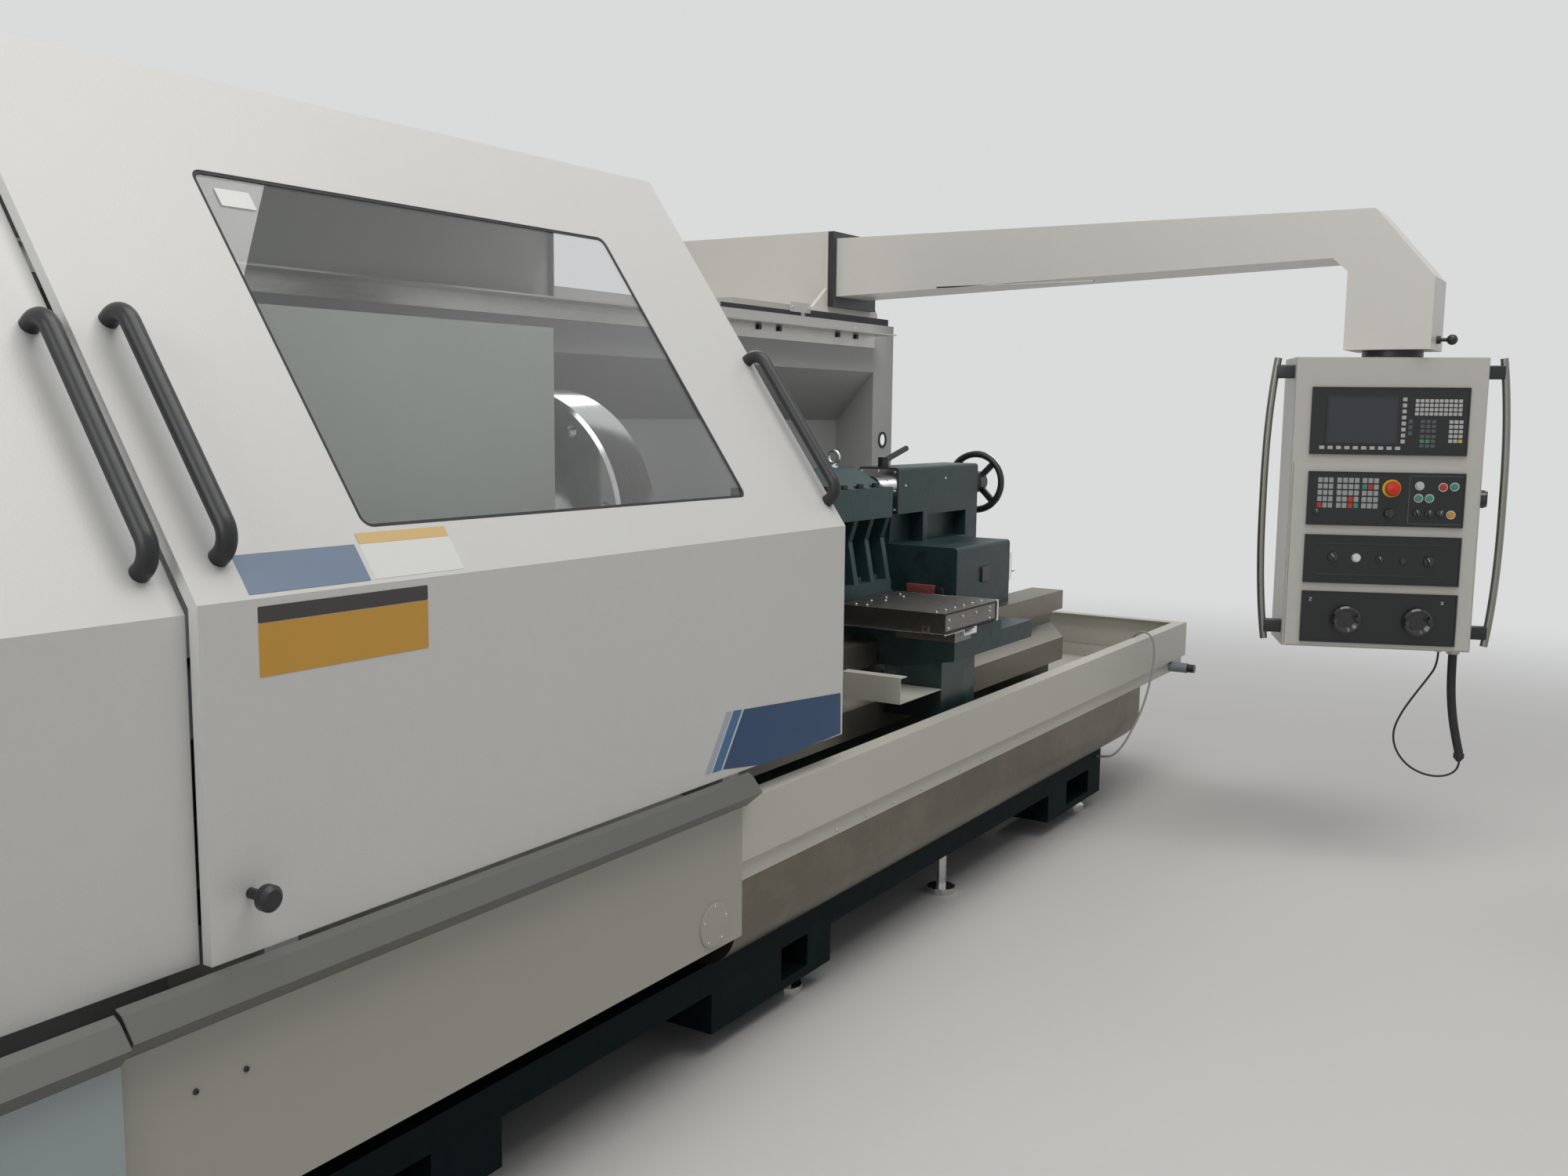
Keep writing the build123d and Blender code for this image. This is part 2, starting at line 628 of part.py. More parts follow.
def door_path(step):
    """The door's outer (y, z) path, moved in by a step for the inner door."""
    slope = hypot(DOOR_CREST_Y - DOOR_FRONT, DOOR_CREST_Z - DOOR_BEND)
    lean = (DOOR_CREST_Y - DOOR_FRONT) / slope
    drop = step * lean
    return [(DOOR_FRONT + step, DOOR_BOTTOM),
            (DOOR_FRONT + step, DOOR_BEND - drop),
            (DOOR_CREST_Y, DOOR_CREST_Z - step / lean),
            (DOOR_ROOF_BACK - step, DOOR_CREST_Z - DOOR_ROOF_DROP - step),
            (DOOR_ROOF_BACK - step, UPPER_RAIL_TOP + SLIDING_GAP)]


def slope_plane(x, distance, step=0.0):
    """Plane on the sloped face: x along the machine, y up the slope, z out of the door."""
    low, high = door_path(step)[1:3]
    run = Vector(0, high[0] - low[0], high[1] - low[1]).normalized()
    origin = Vector(x, low[0], low[1]) + run * distance
    return Plane(origin=origin, x_dir=(1, 0, 0), z_dir=Vector(1, 0, 0).cross(run))


def door_shell(left, right, step):
    """One door: folded sheet, stiffening returns at both ends, and two shoes on the rail."""
    path = door_path(step)
    lip = [(path[0][0] + DOOR_RETURN, path[0][1])]
    shell = folded_sheet(lip + path, left, right)
    for start in (left, right - GAUGE):
        shell += folded_sheet(path, start, start + GAUGE, DOOR_RETURN)
    shoe_front = path[0][0] + GAUGE
    shoe_back = shoe_front + DOOR_STEP - 2 * GAUGE
    for centre in (left + SHOE_LENGTH * 2, right - SHOE_LENGTH * 8):
        shell += block(centre - SHOE_LENGTH / 2, centre + SHOE_LENGTH / 2, shoe_front,
                       min(shoe_back, TRAY_FRONT + RIM_FLANGE - 1), RIM_TOP + SLIDING_GAP,
                       DOOR_BOTTOM + GAUGE)
    return shell


def make_right_door():
    """Door with the window opening and the plunger hole."""
    width = WINDOW_RIGHT - WINDOW_LEFT
    height = WINDOW_HIGH - WINDOW_LOW
    plane = slope_plane((WINDOW_LEFT + WINDOW_RIGHT) / 2, (WINDOW_LOW + WINDOW_HIGH) / 2)
    opening = extrude(plane.offset(-GAUGE - 1) * RectangleRounded(width, height, WINDOW_CORNER),
                      GAUGE + 2)
    hole = round_y(PLUNGER_X, DOOR_FRONT - 1, DOOR_FRONT + GAUGE + 1, PLUNGER_Z,
                   PLUNGER_STEM + SLIDING_GAP)
    return door_shell(RIGHT_DOOR_LEFT, RIGHT_DOOR_RIGHT, 0) - opening - hole


def make_window():
    """Laminated pane, glued behind the sheet with a lap all round."""
    width = WINDOW_RIGHT - WINDOW_LEFT + 2 * WINDOW_LAP
    height = WINDOW_HIGH - WINDOW_LOW + 2 * WINDOW_LAP
    plane = slope_plane((WINDOW_LEFT + WINDOW_RIGHT) / 2, (WINDOW_LOW + WINDOW_HIGH) / 2)
    return extrude(plane.offset(-GAUGE) * Rectangle(width, height), -WINDOW_THICKNESS)


def make_handle(x, step):
    """Bent tube handle standing off the slope on two legs."""
    low = slope_plane(x, HANDLE_LOW, step)
    high = slope_plane(x, HANDLE_LOW + HANDLE_SPAN, step)
    reach = HANDLE_STAND - HANDLE_RADIUS
    corners = [low.origin, low.origin + low.z_dir * reach,
               high.origin + high.z_dir * reach, high.origin]
    return tube(corners, HANDLE_BEND, HANDLE_RADIUS)


def make_plunger():
    """Index plunger: a stem through the door, a collar and a mushroom knob, turned."""
    profile = [(0, -14), (PLUNGER_STEM, -14), (PLUNGER_STEM, 20), (14, 26), (PLUNGER_KNOB, 34),
               (PLUNGER_KNOB, 46), (14, 52), (0, 52)]
    face = face_of(profile)
    axis = Plane(origin=(PLUNGER_X, DOOR_FRONT, PLUNGER_Z), x_dir=(1, 0, 0), z_dir=(0, 0, 1))
    return revolve(axis * mirror(face, Plane.XZ), Axis((PLUNGER_X, DOOR_FRONT, PLUNGER_Z), (0, 1, 0)))


# Rear guard


def make_guard():
    """Folded rear guard: fascia, recess, foot on the tray rim, end post, panel to the base."""
    left = END_COVER_RIGHT
    path = [(TRAY_BACK, RIM_TOP), (GUARD_RECESS_Y, RIM_TOP),
            (GUARD_RECESS_Y, GUARD_RECESS_TOP), (GUARD_FRONT, GUARD_FASCIA_LOW),
            (GUARD_FRONT, GUARD_TOP), (GUARD_TOP_BACK, GUARD_TOP)]
    guard = folded_sheet(path, left, GUARD_RIGHT)
    guard -= block(left - 1, TRAY_LEFT, GUARD_RECESS_Y + GAUGE, TRAY_BACK + 1, RIM_TOP - 1,
                   RIM_TOP + GAUGE + 1)
    wall = BASE_BACK - GAUGE
    guard += folded_sheet([(wall, BASE_TOP), (wall, RIM_TOP + GAUGE),
                           (GUARD_RECESS_Y, RIM_TOP + GAUGE)], left, TRAY_LEFT)
    post_left = GUARD_RIGHT - GUARD_POST_WIDTH
    post = block(post_left, GUARD_RIGHT, GUARD_FRONT, GUARD_RECESS_Y + 60, RIM_TOP, GUARD_TOP)
    inner = block(post_left + GAUGE, GUARD_RIGHT + 1, GUARD_FRONT + GAUGE,
                  GUARD_RECESS_Y + 70, RIM_TOP - 1, GUARD_TOP - GAUGE)
    hole = round_y(GUARD_HOLE_X, GUARD_FRONT - 1, GUARD_FRONT + GAUGE + 1, GUARD_HOLE_Z,
                   GUARD_HOLE_RADIUS)
    return guard + (post - inner - hole)


# Headstock and drive


def make_headstock():
    """Headstock casting: wide foot, narrow tower, bored for the spindle and its bearings."""
    outline = [(-HEAD_FOOT_HALF, BED_TOP), (-HEAD_FOOT_HALF, HEAD_FOOT_TOP),
               (-HEAD_HALF, HEAD_FOOT_TOP + 110), (-HEAD_HALF, HEAD_TOP - 40),
               (-HEAD_HALF + 40, HEAD_TOP), (HEAD_HALF + 60, HEAD_TOP),
               (HEAD_HALF + 100, HEAD_TOP - 40), (HEAD_HALF + 100, HEAD_FOOT_TOP + 110),
               (HEAD_FOOT_HALF, HEAD_FOOT_TOP), (HEAD_FOOT_HALF, BED_TOP)]
    casting = along_x(outline, HEAD_LEFT, HEAD_RIGHT)
    casting -= block(HEAD_LEFT + 60, HEAD_RIGHT - 60, -HEAD_FOOT_HALF + 60,
                     HEAD_FOOT_HALF - 60, BED_TOP - 1, HEAD_FOOT_TOP)
    casting -= round_x(HEAD_LEFT - 1, HEAD_RIGHT + 1, 0, SPINDLE_Z, SPINDLE_RADIUS + 10)
    for left in (HEAD_LEFT - 1, HEAD_RIGHT - BEARING_WIDTH):
        casting -= round_x(left, left + BEARING_WIDTH + 1, 0, SPINDLE_Z,
                           BEARING_RADIUS + RUNNING_GAP)
    return casting


def make_head_cover():
    """Sheet cover over the headstock, with a hole for the spindle nose."""
    box = block(HEAD_LEFT, COVER_RIGHT, COVER_FRONT, COVER_BACK, COVER_FLOOR, COVER_CEILING)
    box -= block(HEAD_LEFT - 1, COVER_RIGHT - GAUGE, COVER_FRONT + GAUGE, COVER_BACK - GAUGE,
                 COVER_FLOOR - 1, COVER_CEILING - GAUGE)
    box += block(HEAD_LEFT, HEAD_RIGHT, COVER_FRONT, -HEAD_HALF, COVER_FLOOR,
                 COVER_FLOOR + GAUGE)
    box += block(HEAD_LEFT, HEAD_RIGHT, HEAD_HALF + 100, COVER_BACK, COVER_FLOOR,
                 COVER_FLOOR + GAUGE)
    return box - round_x(COVER_RIGHT - GAUGE - 1, COVER_RIGHT + 1, 0, SPINDLE_Z,
                         SPINDLE_RADIUS + 12)


def make_bearings():
    """Front and rear spindle bearings as plain rings."""
    rings = []
    for left in (HEAD_LEFT, HEAD_RIGHT - BEARING_WIDTH):
        ring = round_x(left, left + BEARING_WIDTH, 0, SPINDLE_Z, BEARING_RADIUS)
        rings.append(ring - round_x(left - 1, left + BEARING_WIDTH + 1, 0, SPINDLE_Z,
                                    SPINDLE_RADIUS + RUNNING_GAP))
    return Compound(children=rings)


def make_spindle():
    """Hollow spindle with its nose flange."""
    spindle = round_x(SPINDLE_LEFT, CHUCK_BACK, 0, SPINDLE_Z, SPINDLE_RADIUS)
    spindle += round_x(CHUCK_BACK - SPINDLE_NOSE_THICKNESS, CHUCK_BACK, 0, SPINDLE_Z,
                       SPINDLE_NOSE_RADIUS)
    return spindle - round_x(SPINDLE_LEFT - 1, CHUCK_BACK + 1, 0, SPINDLE_Z, SPINDLE_BORE)


def pulley(radius, z, bore):
    """Flat belt pulley with two side flanges."""
    right = PULLEY_LEFT + PULLEY_WIDTH
    wheel = round_x(PULLEY_LEFT, right, 0, z, radius)
    for left in (PULLEY_LEFT - 6, right):
        wheel += round_x(left, left + 6, 0, z, radius + BELT_THICKNESS)
    return wheel - round_x(PULLEY_LEFT - 7, right + 7, 0, z, bore)


def make_belt():
    """Drive belt: two straight runs tangent to both pulleys, and their arcs."""
    faces = []
    for extra in (SLIDING_GAP + BELT_THICKNESS - 2, SLIDING_GAP):
        large = SPINDLE_PULLEY_RADIUS + extra
        small = MOTOR_PULLEY_RADIUS + extra
        tilt = (large - small) / (SPINDLE_Z - MOTOR_Z)
        reach = (1 - tilt * tilt) ** 0.5
        right_up, right_low = (large * reach, SPINDLE_Z + large * tilt * -1), (
            small * reach, MOTOR_Z - small * tilt)
        left_up, left_low = (-right_up[0], right_up[1]), (-right_low[0], right_low[1])
        outline = Line(right_low, right_up)
        outline += ThreePointArc(right_up, (0, SPINDLE_Z + large), left_up)
        outline += Line(left_up, left_low)
        outline += ThreePointArc(left_low, (0, MOTOR_Z - small), right_low)
        faces.append(make_face(outline))
    plane = Plane.YZ.offset(PULLEY_LEFT + 4)
    return extrude(plane * (faces[0] - faces[1]), PULLEY_WIDTH - 8)


def make_motor():
    """Spindle motor: a finned round body on two feet, its shaft bored through."""
    right = PULLEY_LEFT - 46
    motor = round_x(MOTOR_LEFT, right, 0, MOTOR_Z, MOTOR_RADIUS)
    for left in (MOTOR_LEFT + 60, right - 120):
        motor += block(left, left + 60, -MOTOR_RADIUS, MOTOR_RADIUS, BASE_TOP, MOTOR_Z - 60)
    motor += block(MOTOR_LEFT + 200, MOTOR_LEFT + 340, -70, 70, MOTOR_Z + MOTOR_RADIUS - 20,
                   MOTOR_Z + MOTOR_RADIUS + 60)
    return motor - round_x(right - 120, right + 1, 0, MOTOR_Z, MOTOR_SHAFT + RUNNING_GAP)


def make_motor_pulley():
    """Motor pulley on the shaft that runs in the motor."""
    wheel = pulley(MOTOR_PULLEY_RADIUS, MOTOR_Z, 0.5 * MOTOR_SHAFT)
    right = PULLEY_LEFT + PULLEY_WIDTH + 10
    return wheel + round_x(PULLEY_LEFT - 46 - 119, right, 0, MOTOR_Z, MOTOR_SHAFT)


def make_end_cover():
    """Sheet housing over the belt drive, its back raised to carry the upper door rail."""
    path = [(END_COVER_FRONT, BASE_TOP), (END_COVER_FRONT, END_COVER_BEND),
            (END_COVER_CREST, END_COVER_TOP), (GUARD_FRONT, END_COVER_TOP),
            (GUARD_FRONT, GUARD_TOP), (END_COVER_BACK, GUARD_TOP), (END_COVER_BACK, BASE_TOP)]
    wall = along_x(path, BASE_LEFT, BASE_LEFT + GAUGE)
    return folded_sheet(path, BASE_LEFT, END_COVER_RIGHT) + wall


def make_servo():
    """Feed servo motor on the screw's left end."""
    right = Z_SCREW_LEFT
    half = SERVO_SIDE / 2
    body = block(right - SERVO_LENGTH, right, Z_SCREW_Y - half, Z_SCREW_Y + half,
                 Z_SCREW_Z - half, Z_SCREW_Z + half)
    body = chamfer(body.edges().filter_by(Axis.X), 18)
    return body - round_x(right - 60, right + 1, Z_SCREW_Y, Z_SCREW_Z,
                          Z_SCREW_RADIUS + RUNNING_GAP)


# Chuck


def turned(shape, index, count=JAW_COUNT):
    """A copy of a shape turned about the spindle axis to its place in the ring."""
    middle = Pos(0, 0, SPINDLE_Z)
    return middle * Rot(360.0 / count * index, 0, 0) * middle.inverse() * shape


def make_chuck():
    """Chuck body: jaw slots on the face, bolt holes and relief pockets on the back."""
    front = CHUCK_BACK + CHUCK_DEPTH
    body = round_x(CHUCK_BACK, front, 0, SPINDLE_Z, CHUCK_RADIUS)
    body = chamfer(body.edges().filter_by(GeomType.CIRCLE), 8)
    body -= round_x(CHUCK_BACK - 1, front + 1, 0, SPINDLE_Z, CHUCK_HOLE)
    for index in range(JAW_COUNT):
        slot = block(front - JAW_SLOT_DEPTH, front + 1, -JAW_WIDTH / 2, JAW_WIDTH / 2,
                     SPINDLE_Z + CHUCK_HOLE - 10, SPINDLE_Z + CHUCK_RADIUS + 1)
        relief = block(CHUCK_BACK - 1, CHUCK_BACK + 22, -JAW_WIDTH / 2, JAW_WIDTH / 2,
                       SPINDLE_Z + SPINDLE_NOSE_RADIUS + 20, SPINDLE_Z + CHUCK_RADIUS - 60)
        hole = round_x(CHUCK_BACK - 1, CHUCK_BACK + 22, 0, SPINDLE_Z + CHUCK_RADIUS - 40, 15)
        body -= turned(slot, index)
        body -= turned(relief, index)
        body -= turned(hole, index + 0.32)
        body -= turned(hole, index - 0.32)
    return body


def make_jaw(index):
    """Stepped jaw that slides in its slot."""
    front = CHUCK_BACK + CHUCK_DEPTH
    back = front - JAW_SLOT_DEPTH + SLIDING_GAP
    outline = [(back, SPINDLE_Z + JAW_INNER), (front + JAW_PROUD, SPINDLE_Z + JAW_INNER),
               (front + JAW_PROUD, SPINDLE_Z + JAW_STEP), (front + JAW_PROUD / 2,
                                                          SPINDLE_Z + JAW_STEP),
               (front + JAW_PROUD / 2, SPINDLE_Z + JAW_OUTER), (back, SPINDLE_Z + JAW_OUTER)]
    half = JAW_WIDTH / 2 - SLIDING_GAP
    return turned(along_y(outline, -half, half), index)


# Saddle and cross slide


def dovetail(left, right, low, high, flare):
    """Dovetail section in X and Z, narrow at its root."""
    return [(left + flare, low), (right - flare, low), (right, high), (left, high)]


def make_saddle():
    """Saddle: bridge over the ways, long front wing, dovetail, screw trough and nut bracket."""
    ways = BED_TOP + SLIDING_GAP
    saddle = block(SADDLE_LEFT, BRIDGE_RIGHT, SADDLE_FRONT, SADDLE_BACK, ways, BRIDGE_TOP)
    saddle -= block(SADDLE_LEFT - 1, BRIDGE_RIGHT + 1, SADDLE_FRONT - 1, -BED_HALF - 60,
                    SADDLE_WING_TOP, BRIDGE_TOP + 1)
    wing = [(SADDLE_FRONT, SADDLE_BOTTOM), (SADDLE_FRONT, SADDLE_WING_TOP),
            (-BED_HALF - 1, SADDLE_WING_TOP), (-BED_HALF - 1, WING_ROOT_LOW),
            (WING_ROOT_Y, WING_ROOT_LOW)]
    saddle += along_x(wing, SADDLE_LEFT, SADDLE_RIGHT)
    saddle += block(WING_BOSS_LEFT, WING_BOSS_RIGHT, SADDLE_FRONT, -BED_HALF - 60,
                    SADDLE_WING_TOP, BRIDGE_TOP)
    saddle += along_y(dovetail(DOVETAIL_LEFT, DOVETAIL_RIGHT, BRIDGE_TOP,
                               BRIDGE_TOP + DOVETAIL_HEIGHT, DOVETAIL_FLARE),
                      -BED_HALF - 60, SADDLE_BACK)
    trough = X_NUT_RADIUS + 3
    saddle -= block(X_SCREW_X - trough, X_SCREW_X + trough, -BED_HALF - 40, SADDLE_BACK - 25,
                    X_SCREW_Z - X_NUT_RADIUS - 3, BRIDGE_TOP + 1)
    saddle -= round_y(X_SCREW_X, -BED_HALF - 61, SADDLE_BACK + 1, X_SCREW_Z,
                      X_SCREW_RADIUS + RUNNING_GAP)
    nut = block(BRIDGE_RIGHT - 160, BRIDGE_RIGHT - 20, BED_HALF + 1, SADDLE_BACK,
                Z_SCREW_Z - 45, ways)
    saddle += nut
    return saddle - round_x(BRIDGE_RIGHT - 161, BRIDGE_RIGHT - 19, Z_SCREW_Y, Z_SCREW_Z,
                            Z_SCREW_RADIUS + SLIDING_GAP)


def make_apron():
    """Apron box under the front wing, with the folded guard ledge on its left."""
    fall = (SADDLE_BOTTOM - WING_ROOT_LOW) / (WING_ROOT_Y - SADDLE_FRONT)
    front_top = SADDLE_BOTTOM - (APRON_FRONT - SADDLE_FRONT) * fall
    outline = [(APRON_FRONT, APRON_BOTTOM), (APRON_FRONT, front_top),
               (WING_ROOT_Y, WING_ROOT_LOW), (APRON_BACK, WING_ROOT_LOW),
               (APRON_BACK, APRON_BOTTOM)]
    apron = along_x(outline, APRON_LEFT, APRON_RIGHT)
    apron -= block(APRON_LEFT + GAUGE * 2, APRON_RIGHT - GAUGE * 2, APRON_FRONT + GAUGE * 2,
                   APRON_BACK + 1, APRON_BOTTOM + GAUGE * 2, WING_ROOT_LOW - GAUGE * 2)
    channel = [(LEDGE_LEFT + LEDGE_WIDTH, LEDGE_TOP), (LEDGE_LEFT, LEDGE_TOP),
               (LEDGE_LEFT, LEDGE_BOTTOM), (APRON_LEFT, LEDGE_BOTTOM)]
    ledge = along_y(sheet_outline(channel, -GAUGE), LEDGE_FRONT, APRON_BACK)
    return apron + ledge


def make_cross_slide():
    """Cross slide: plate with a dovetail groove and the screw nut below."""
    low = BRIDGE_TOP + SLIDING_GAP
    slide = block(CROSS_LEFT, CROSS_RIGHT, CROSS_FRONT, CROSS_BACK, low, CROSS_TOP)
    gap = SLIDING_GAP
    groove = dovetail(DOVETAIL_LEFT - gap, DOVETAIL_RIGHT + gap, low - 1,
                      BRIDGE_TOP + DOVETAIL_HEIGHT + gap, DOVETAIL_FLARE)
    slide -= along_y(groove, CROSS_FRONT - 1, CROSS_BACK + 1)
    half = X_NUT_RADIUS
    slide += block(X_SCREW_X - half, X_SCREW_X + half, -60, 60, X_SCREW_Z - half, low)
    return slide - round_y(X_SCREW_X, -61, 61, X_SCREW_Z, X_SCREW_RADIUS + SLIDING_GAP)


def make_slide_cover():
    """Stainless cover box over the front of the cross slide's ways, with its inner skirt."""
    box = block(COVER_BOX_LEFT, COVER_BOX_RIGHT, COVER_BOX_FRONT, COVER_BOX_BACK,
                SADDLE_WING_TOP, COVER_BOX_TOP)
    box -= block(COVER_BOX_LEFT + GAUGE, COVER_BOX_RIGHT - GAUGE, COVER_BOX_FRONT + GAUGE,
                 COVER_BOX_BACK + 1, SADDLE_WING_TOP - 1, COVER_BOX_TOP - GAUGE)
    box -= block(COVER_BOX_LEFT - 1, SADDLE_LEFT, COVER_BOX_FRONT - 1, COVER_BOX_BACK + 1,
                 SADDLE_WING_TOP - 1, COVER_BOX_BOTTOM)
    box -= block(COVER_BOX_LEFT - 1, COVER_BOX_RIGHT + 1, COVER_BOX_FRONT - 1, SADDLE_FRONT,
                 SADDLE_WING_TOP - 1, COVER_BOX_BOTTOM)
    box -= block(COVER_BOX_RIGHT - GAUGE - 1, COVER_BOX_RIGHT + 1, COVER_BOX_FRONT - 1,
                 COVER_BOX_BACK + 1, SADDLE_WING_TOP - 1, BRIDGE_TOP)
    box += block(SADDLE_LEFT, WING_BOSS_LEFT, SADDLE_FRONT, SADDLE_FRONT + GAUGE,
                 SADDLE_WING_TOP, COVER_BOX_TOP - GAUGE)
    return box + block(SADDLE_LEFT, SADDLE_LEFT + GAUGE, SADDLE_FRONT, -BED_HALF - 60,
                       SADDLE_WING_TOP, COVER_BOX_TOP - GAUGE)


def holder_stations():
    """X stations of the clamp bolts on each side of the split."""
    middle = (HOLDER_LEFT + HOLDER_RIGHT) / 2
    start = middle - HOLDER_BOLT_PITCH * (HOLDER_BOLTS - 1) / 2
    return [start + HOLDER_BOLT_PITCH * index for index in range(HOLDER_BOLTS)]


def make_holder():
    """Boring bar holder: foot, web with ribs that flare to the foot, and lower half bore."""
    half = HOLDER_HALF
    holder = block(HOLDER_LEFT, HOLDER_RIGHT, -half, half, CROSS_TOP, HOLDER_FOOT_TOP)
    holder += block(HOLDER_LEFT, HOLDER_RIGHT, -HOLDER_WEB_HALF, HOLDER_WEB_HALF,
                    HOLDER_FOOT_TOP, HOLDER_BLOCK_LOW)
    holder += block(HOLDER_LEFT, HOLDER_RIGHT, -half, half, HOLDER_BLOCK_LOW, SPINDLE_Z)
    rib = [(-half + 8, HOLDER_BLOCK_LOW), (-half + 30, HOLDER_BLOCK_LOW - 70),
           (-half + 4, HOLDER_FOOT_TOP), (half - 4, HOLDER_FOOT_TOP),
           (half - 30, HOLDER_BLOCK_LOW - 70), (half - 8, HOLDER_BLOCK_LOW)]
    pitch = (HOLDER_RIGHT - HOLDER_LEFT - HOLDER_RIB) / (HOLDER_RIBS - 1)
    for index in range(HOLDER_RIBS):
        left = HOLDER_LEFT + pitch * index
        holder += along_x(rib, left, left + HOLDER_RIB)
    return holder - round_x(HOLDER_LEFT - 1, HOLDER_RIGHT + 1, 0, SPINDLE_Z, HOLDER_BORE)


def make_holder_cap():
    """Cap with a round crown and bolt seats cut into its lips."""
    half = HOLDER_HALF
    cap = block(HOLDER_LEFT, HOLDER_RIGHT, -half, half, SPINDLE_Z, SPINDLE_Z + HOLDER_LIP)
    crown = round_x(HOLDER_LEFT, HOLDER_RIGHT, 0, SPINDLE_Z, HOLDER_CROWN)
    cap += crown & block(HOLDER_LEFT, HOLDER_RIGHT, -half, half, SPINDLE_Z, SPINDLE_Z + half)
    shoulder = [(-half + 34, SPINDLE_Z + HOLDER_LIP), (-46, SPINDLE_Z + 75),
                (46, SPINDLE_Z + 75), (half - 34, SPINDLE_Z + HOLDER_LIP)]
    cap += along_x(shoulder, HOLDER_LEFT, HOLDER_RIGHT)
    for x in holder_stations():
        for side in (-1, 1):
            cap -= round_z(x, side * (half - 26), SPINDLE_Z + HOLDER_LIP - 6, SPINDLE_Z + 90, 22)
    return cap - round_x(HOLDER_LEFT - 1, HOLDER_RIGHT + 1, 0, SPINDLE_Z, HOLDER_BORE)


def make_z_screw():
    """Longitudinal ball screw between its two brackets."""
    return round_x(Z_SCREW_LEFT - 50, Z_SCREW_RIGHT, Z_SCREW_Y, Z_SCREW_Z, Z_SCREW_RADIUS)


def make_x_screw():
    """Cross ball screw in the saddle's trough."""
    return round_y(X_SCREW_X, -BED_HALF - 60, SADDLE_BACK, X_SCREW_Z, X_SCREW_RADIUS)


# Tailstock


def make_tailstock():
    """Tailstock casting: barrel with soft top edges, post with pockets, base on the ways."""
    half = TAIL_BARREL_HALF
    barrel = block(TAIL_BARREL_LEFT, TAIL_BARREL_RIGHT, -half, half, SPINDLE_Z - half - 2,
                   SPINDLE_Z + half)
    top = barrel.edges().filter_by(Axis.X).group_by(Axis.Z)[-1]
    barrel = fillet(top, TAIL_CORNER)
    low = BED_TOP + SLIDING_GAP
    base = block(TAIL_BASE_LEFT, TAIL_BASE_RIGHT, -TAIL_BASE_HALF, TAIL_BASE_HALF, low,
                 TAIL_BASE_TOP)
    base = fillet(base.edges().filter_by(Axis.X).group_by(Axis.Z)[-1], TAIL_CORNER)
    base += block(TAIL_BASE_RIGHT, TAIL_BARREL_RIGHT, -TAIL_BASE_HALF + 120,
                  TAIL_BASE_HALF - 120, low, TAIL_BASE_TOP - 90)
    web = [(TAIL_BARREL_LEFT + 50, SPINDLE_Z - half - 2), (TAIL_BARREL_RIGHT,
                                                          SPINDLE_Z - half - 2),
           (TAIL_BARREL_RIGHT, TAIL_BASE_TOP - 90), (TAIL_BASE_LEFT + 20, TAIL_BASE_TOP - 40),
           (TAIL_BASE_LEFT + 20, TAIL_BASE_TOP)]
    body = barrel + base + along_y(web, -TAIL_WEB_HALF, TAIL_WEB_HALF)
    body += block(TAIL_POST_LEFT, TAIL_BARREL_RIGHT, -half, half, TAIL_BASE_TOP - 90,
                  SPINDLE_Z - half - 1)
    for side in (-1, 1):
        edge = sorted((side * (half + 1), side * (half - TAIL_POCKET_DEPTH)))
        body -= block(TAIL_POCKET_LEFT, TAIL_POCKET_RIGHT, edge[0], edge[1],
                      TAIL_BASE_TOP, TAIL_POCKET_TOP)
    body -= round_x(TAIL_BARREL_LEFT - 1, TAIL_BARREL_RIGHT - 120, 0, SPINDLE_Z,
                    QUILL_RADIUS + RUNNING_GAP)
    waist = TAIL_BOSS_REACH / 2
    body += Pos(TAIL_BARREL_RIGHT + waist / 2, 0, SPINDLE_Z) * Rot(0, 90, 0) * Cone(
        TAIL_BOSS_ROOT, TAIL_BOSS_WAIST, waist)
    body += Pos(TAIL_BARREL_RIGHT + waist * 1.5, 0, SPINDLE_Z) * Rot(0, 90, 0) * Cone(
        TAIL_BOSS_WAIST, TAIL_BOSS_END, waist)
    body -= round_x(TAIL_BARREL_RIGHT - 121, TAIL_BARREL_RIGHT + TAIL_BOSS_REACH + 1, 0,
                    SPINDLE_Z, TAIL_SHAFT_RADIUS + RUNNING_GAP)
    seat = SPINDLE_Z + half - 30
    return body - round_z(LEVER_X, 0, seat, SPINDLE_Z + half + 1, 10 + RUNNING_GAP)


def make_quill():
    """Quill: ground bar with a tapered socket and a clearance hole for the screw."""
    quill = round_x(QUILL_LEFT, QUILL_LEFT + QUILL_LENGTH, 0, SPINDLE_Z, QUILL_RADIUS)
    socket = Pos(QUILL_LEFT + QUILL_SOCKET_DEPTH / 2, 0, SPINDLE_Z) * Rot(0, 90, 0) * Cone(
        QUILL_SOCKET, QUILL_SOCKET - QUILL_SOCKET_TAPER, QUILL_SOCKET_DEPTH)
    quill -= socket
    return quill - round_x(QUILL_LEFT + QUILL_SCREW_START, QUILL_LEFT + QUILL_LENGTH + 1, 0,
                           SPINDLE_Z, TAIL_SHAFT_RADIUS + SLIDING_GAP)


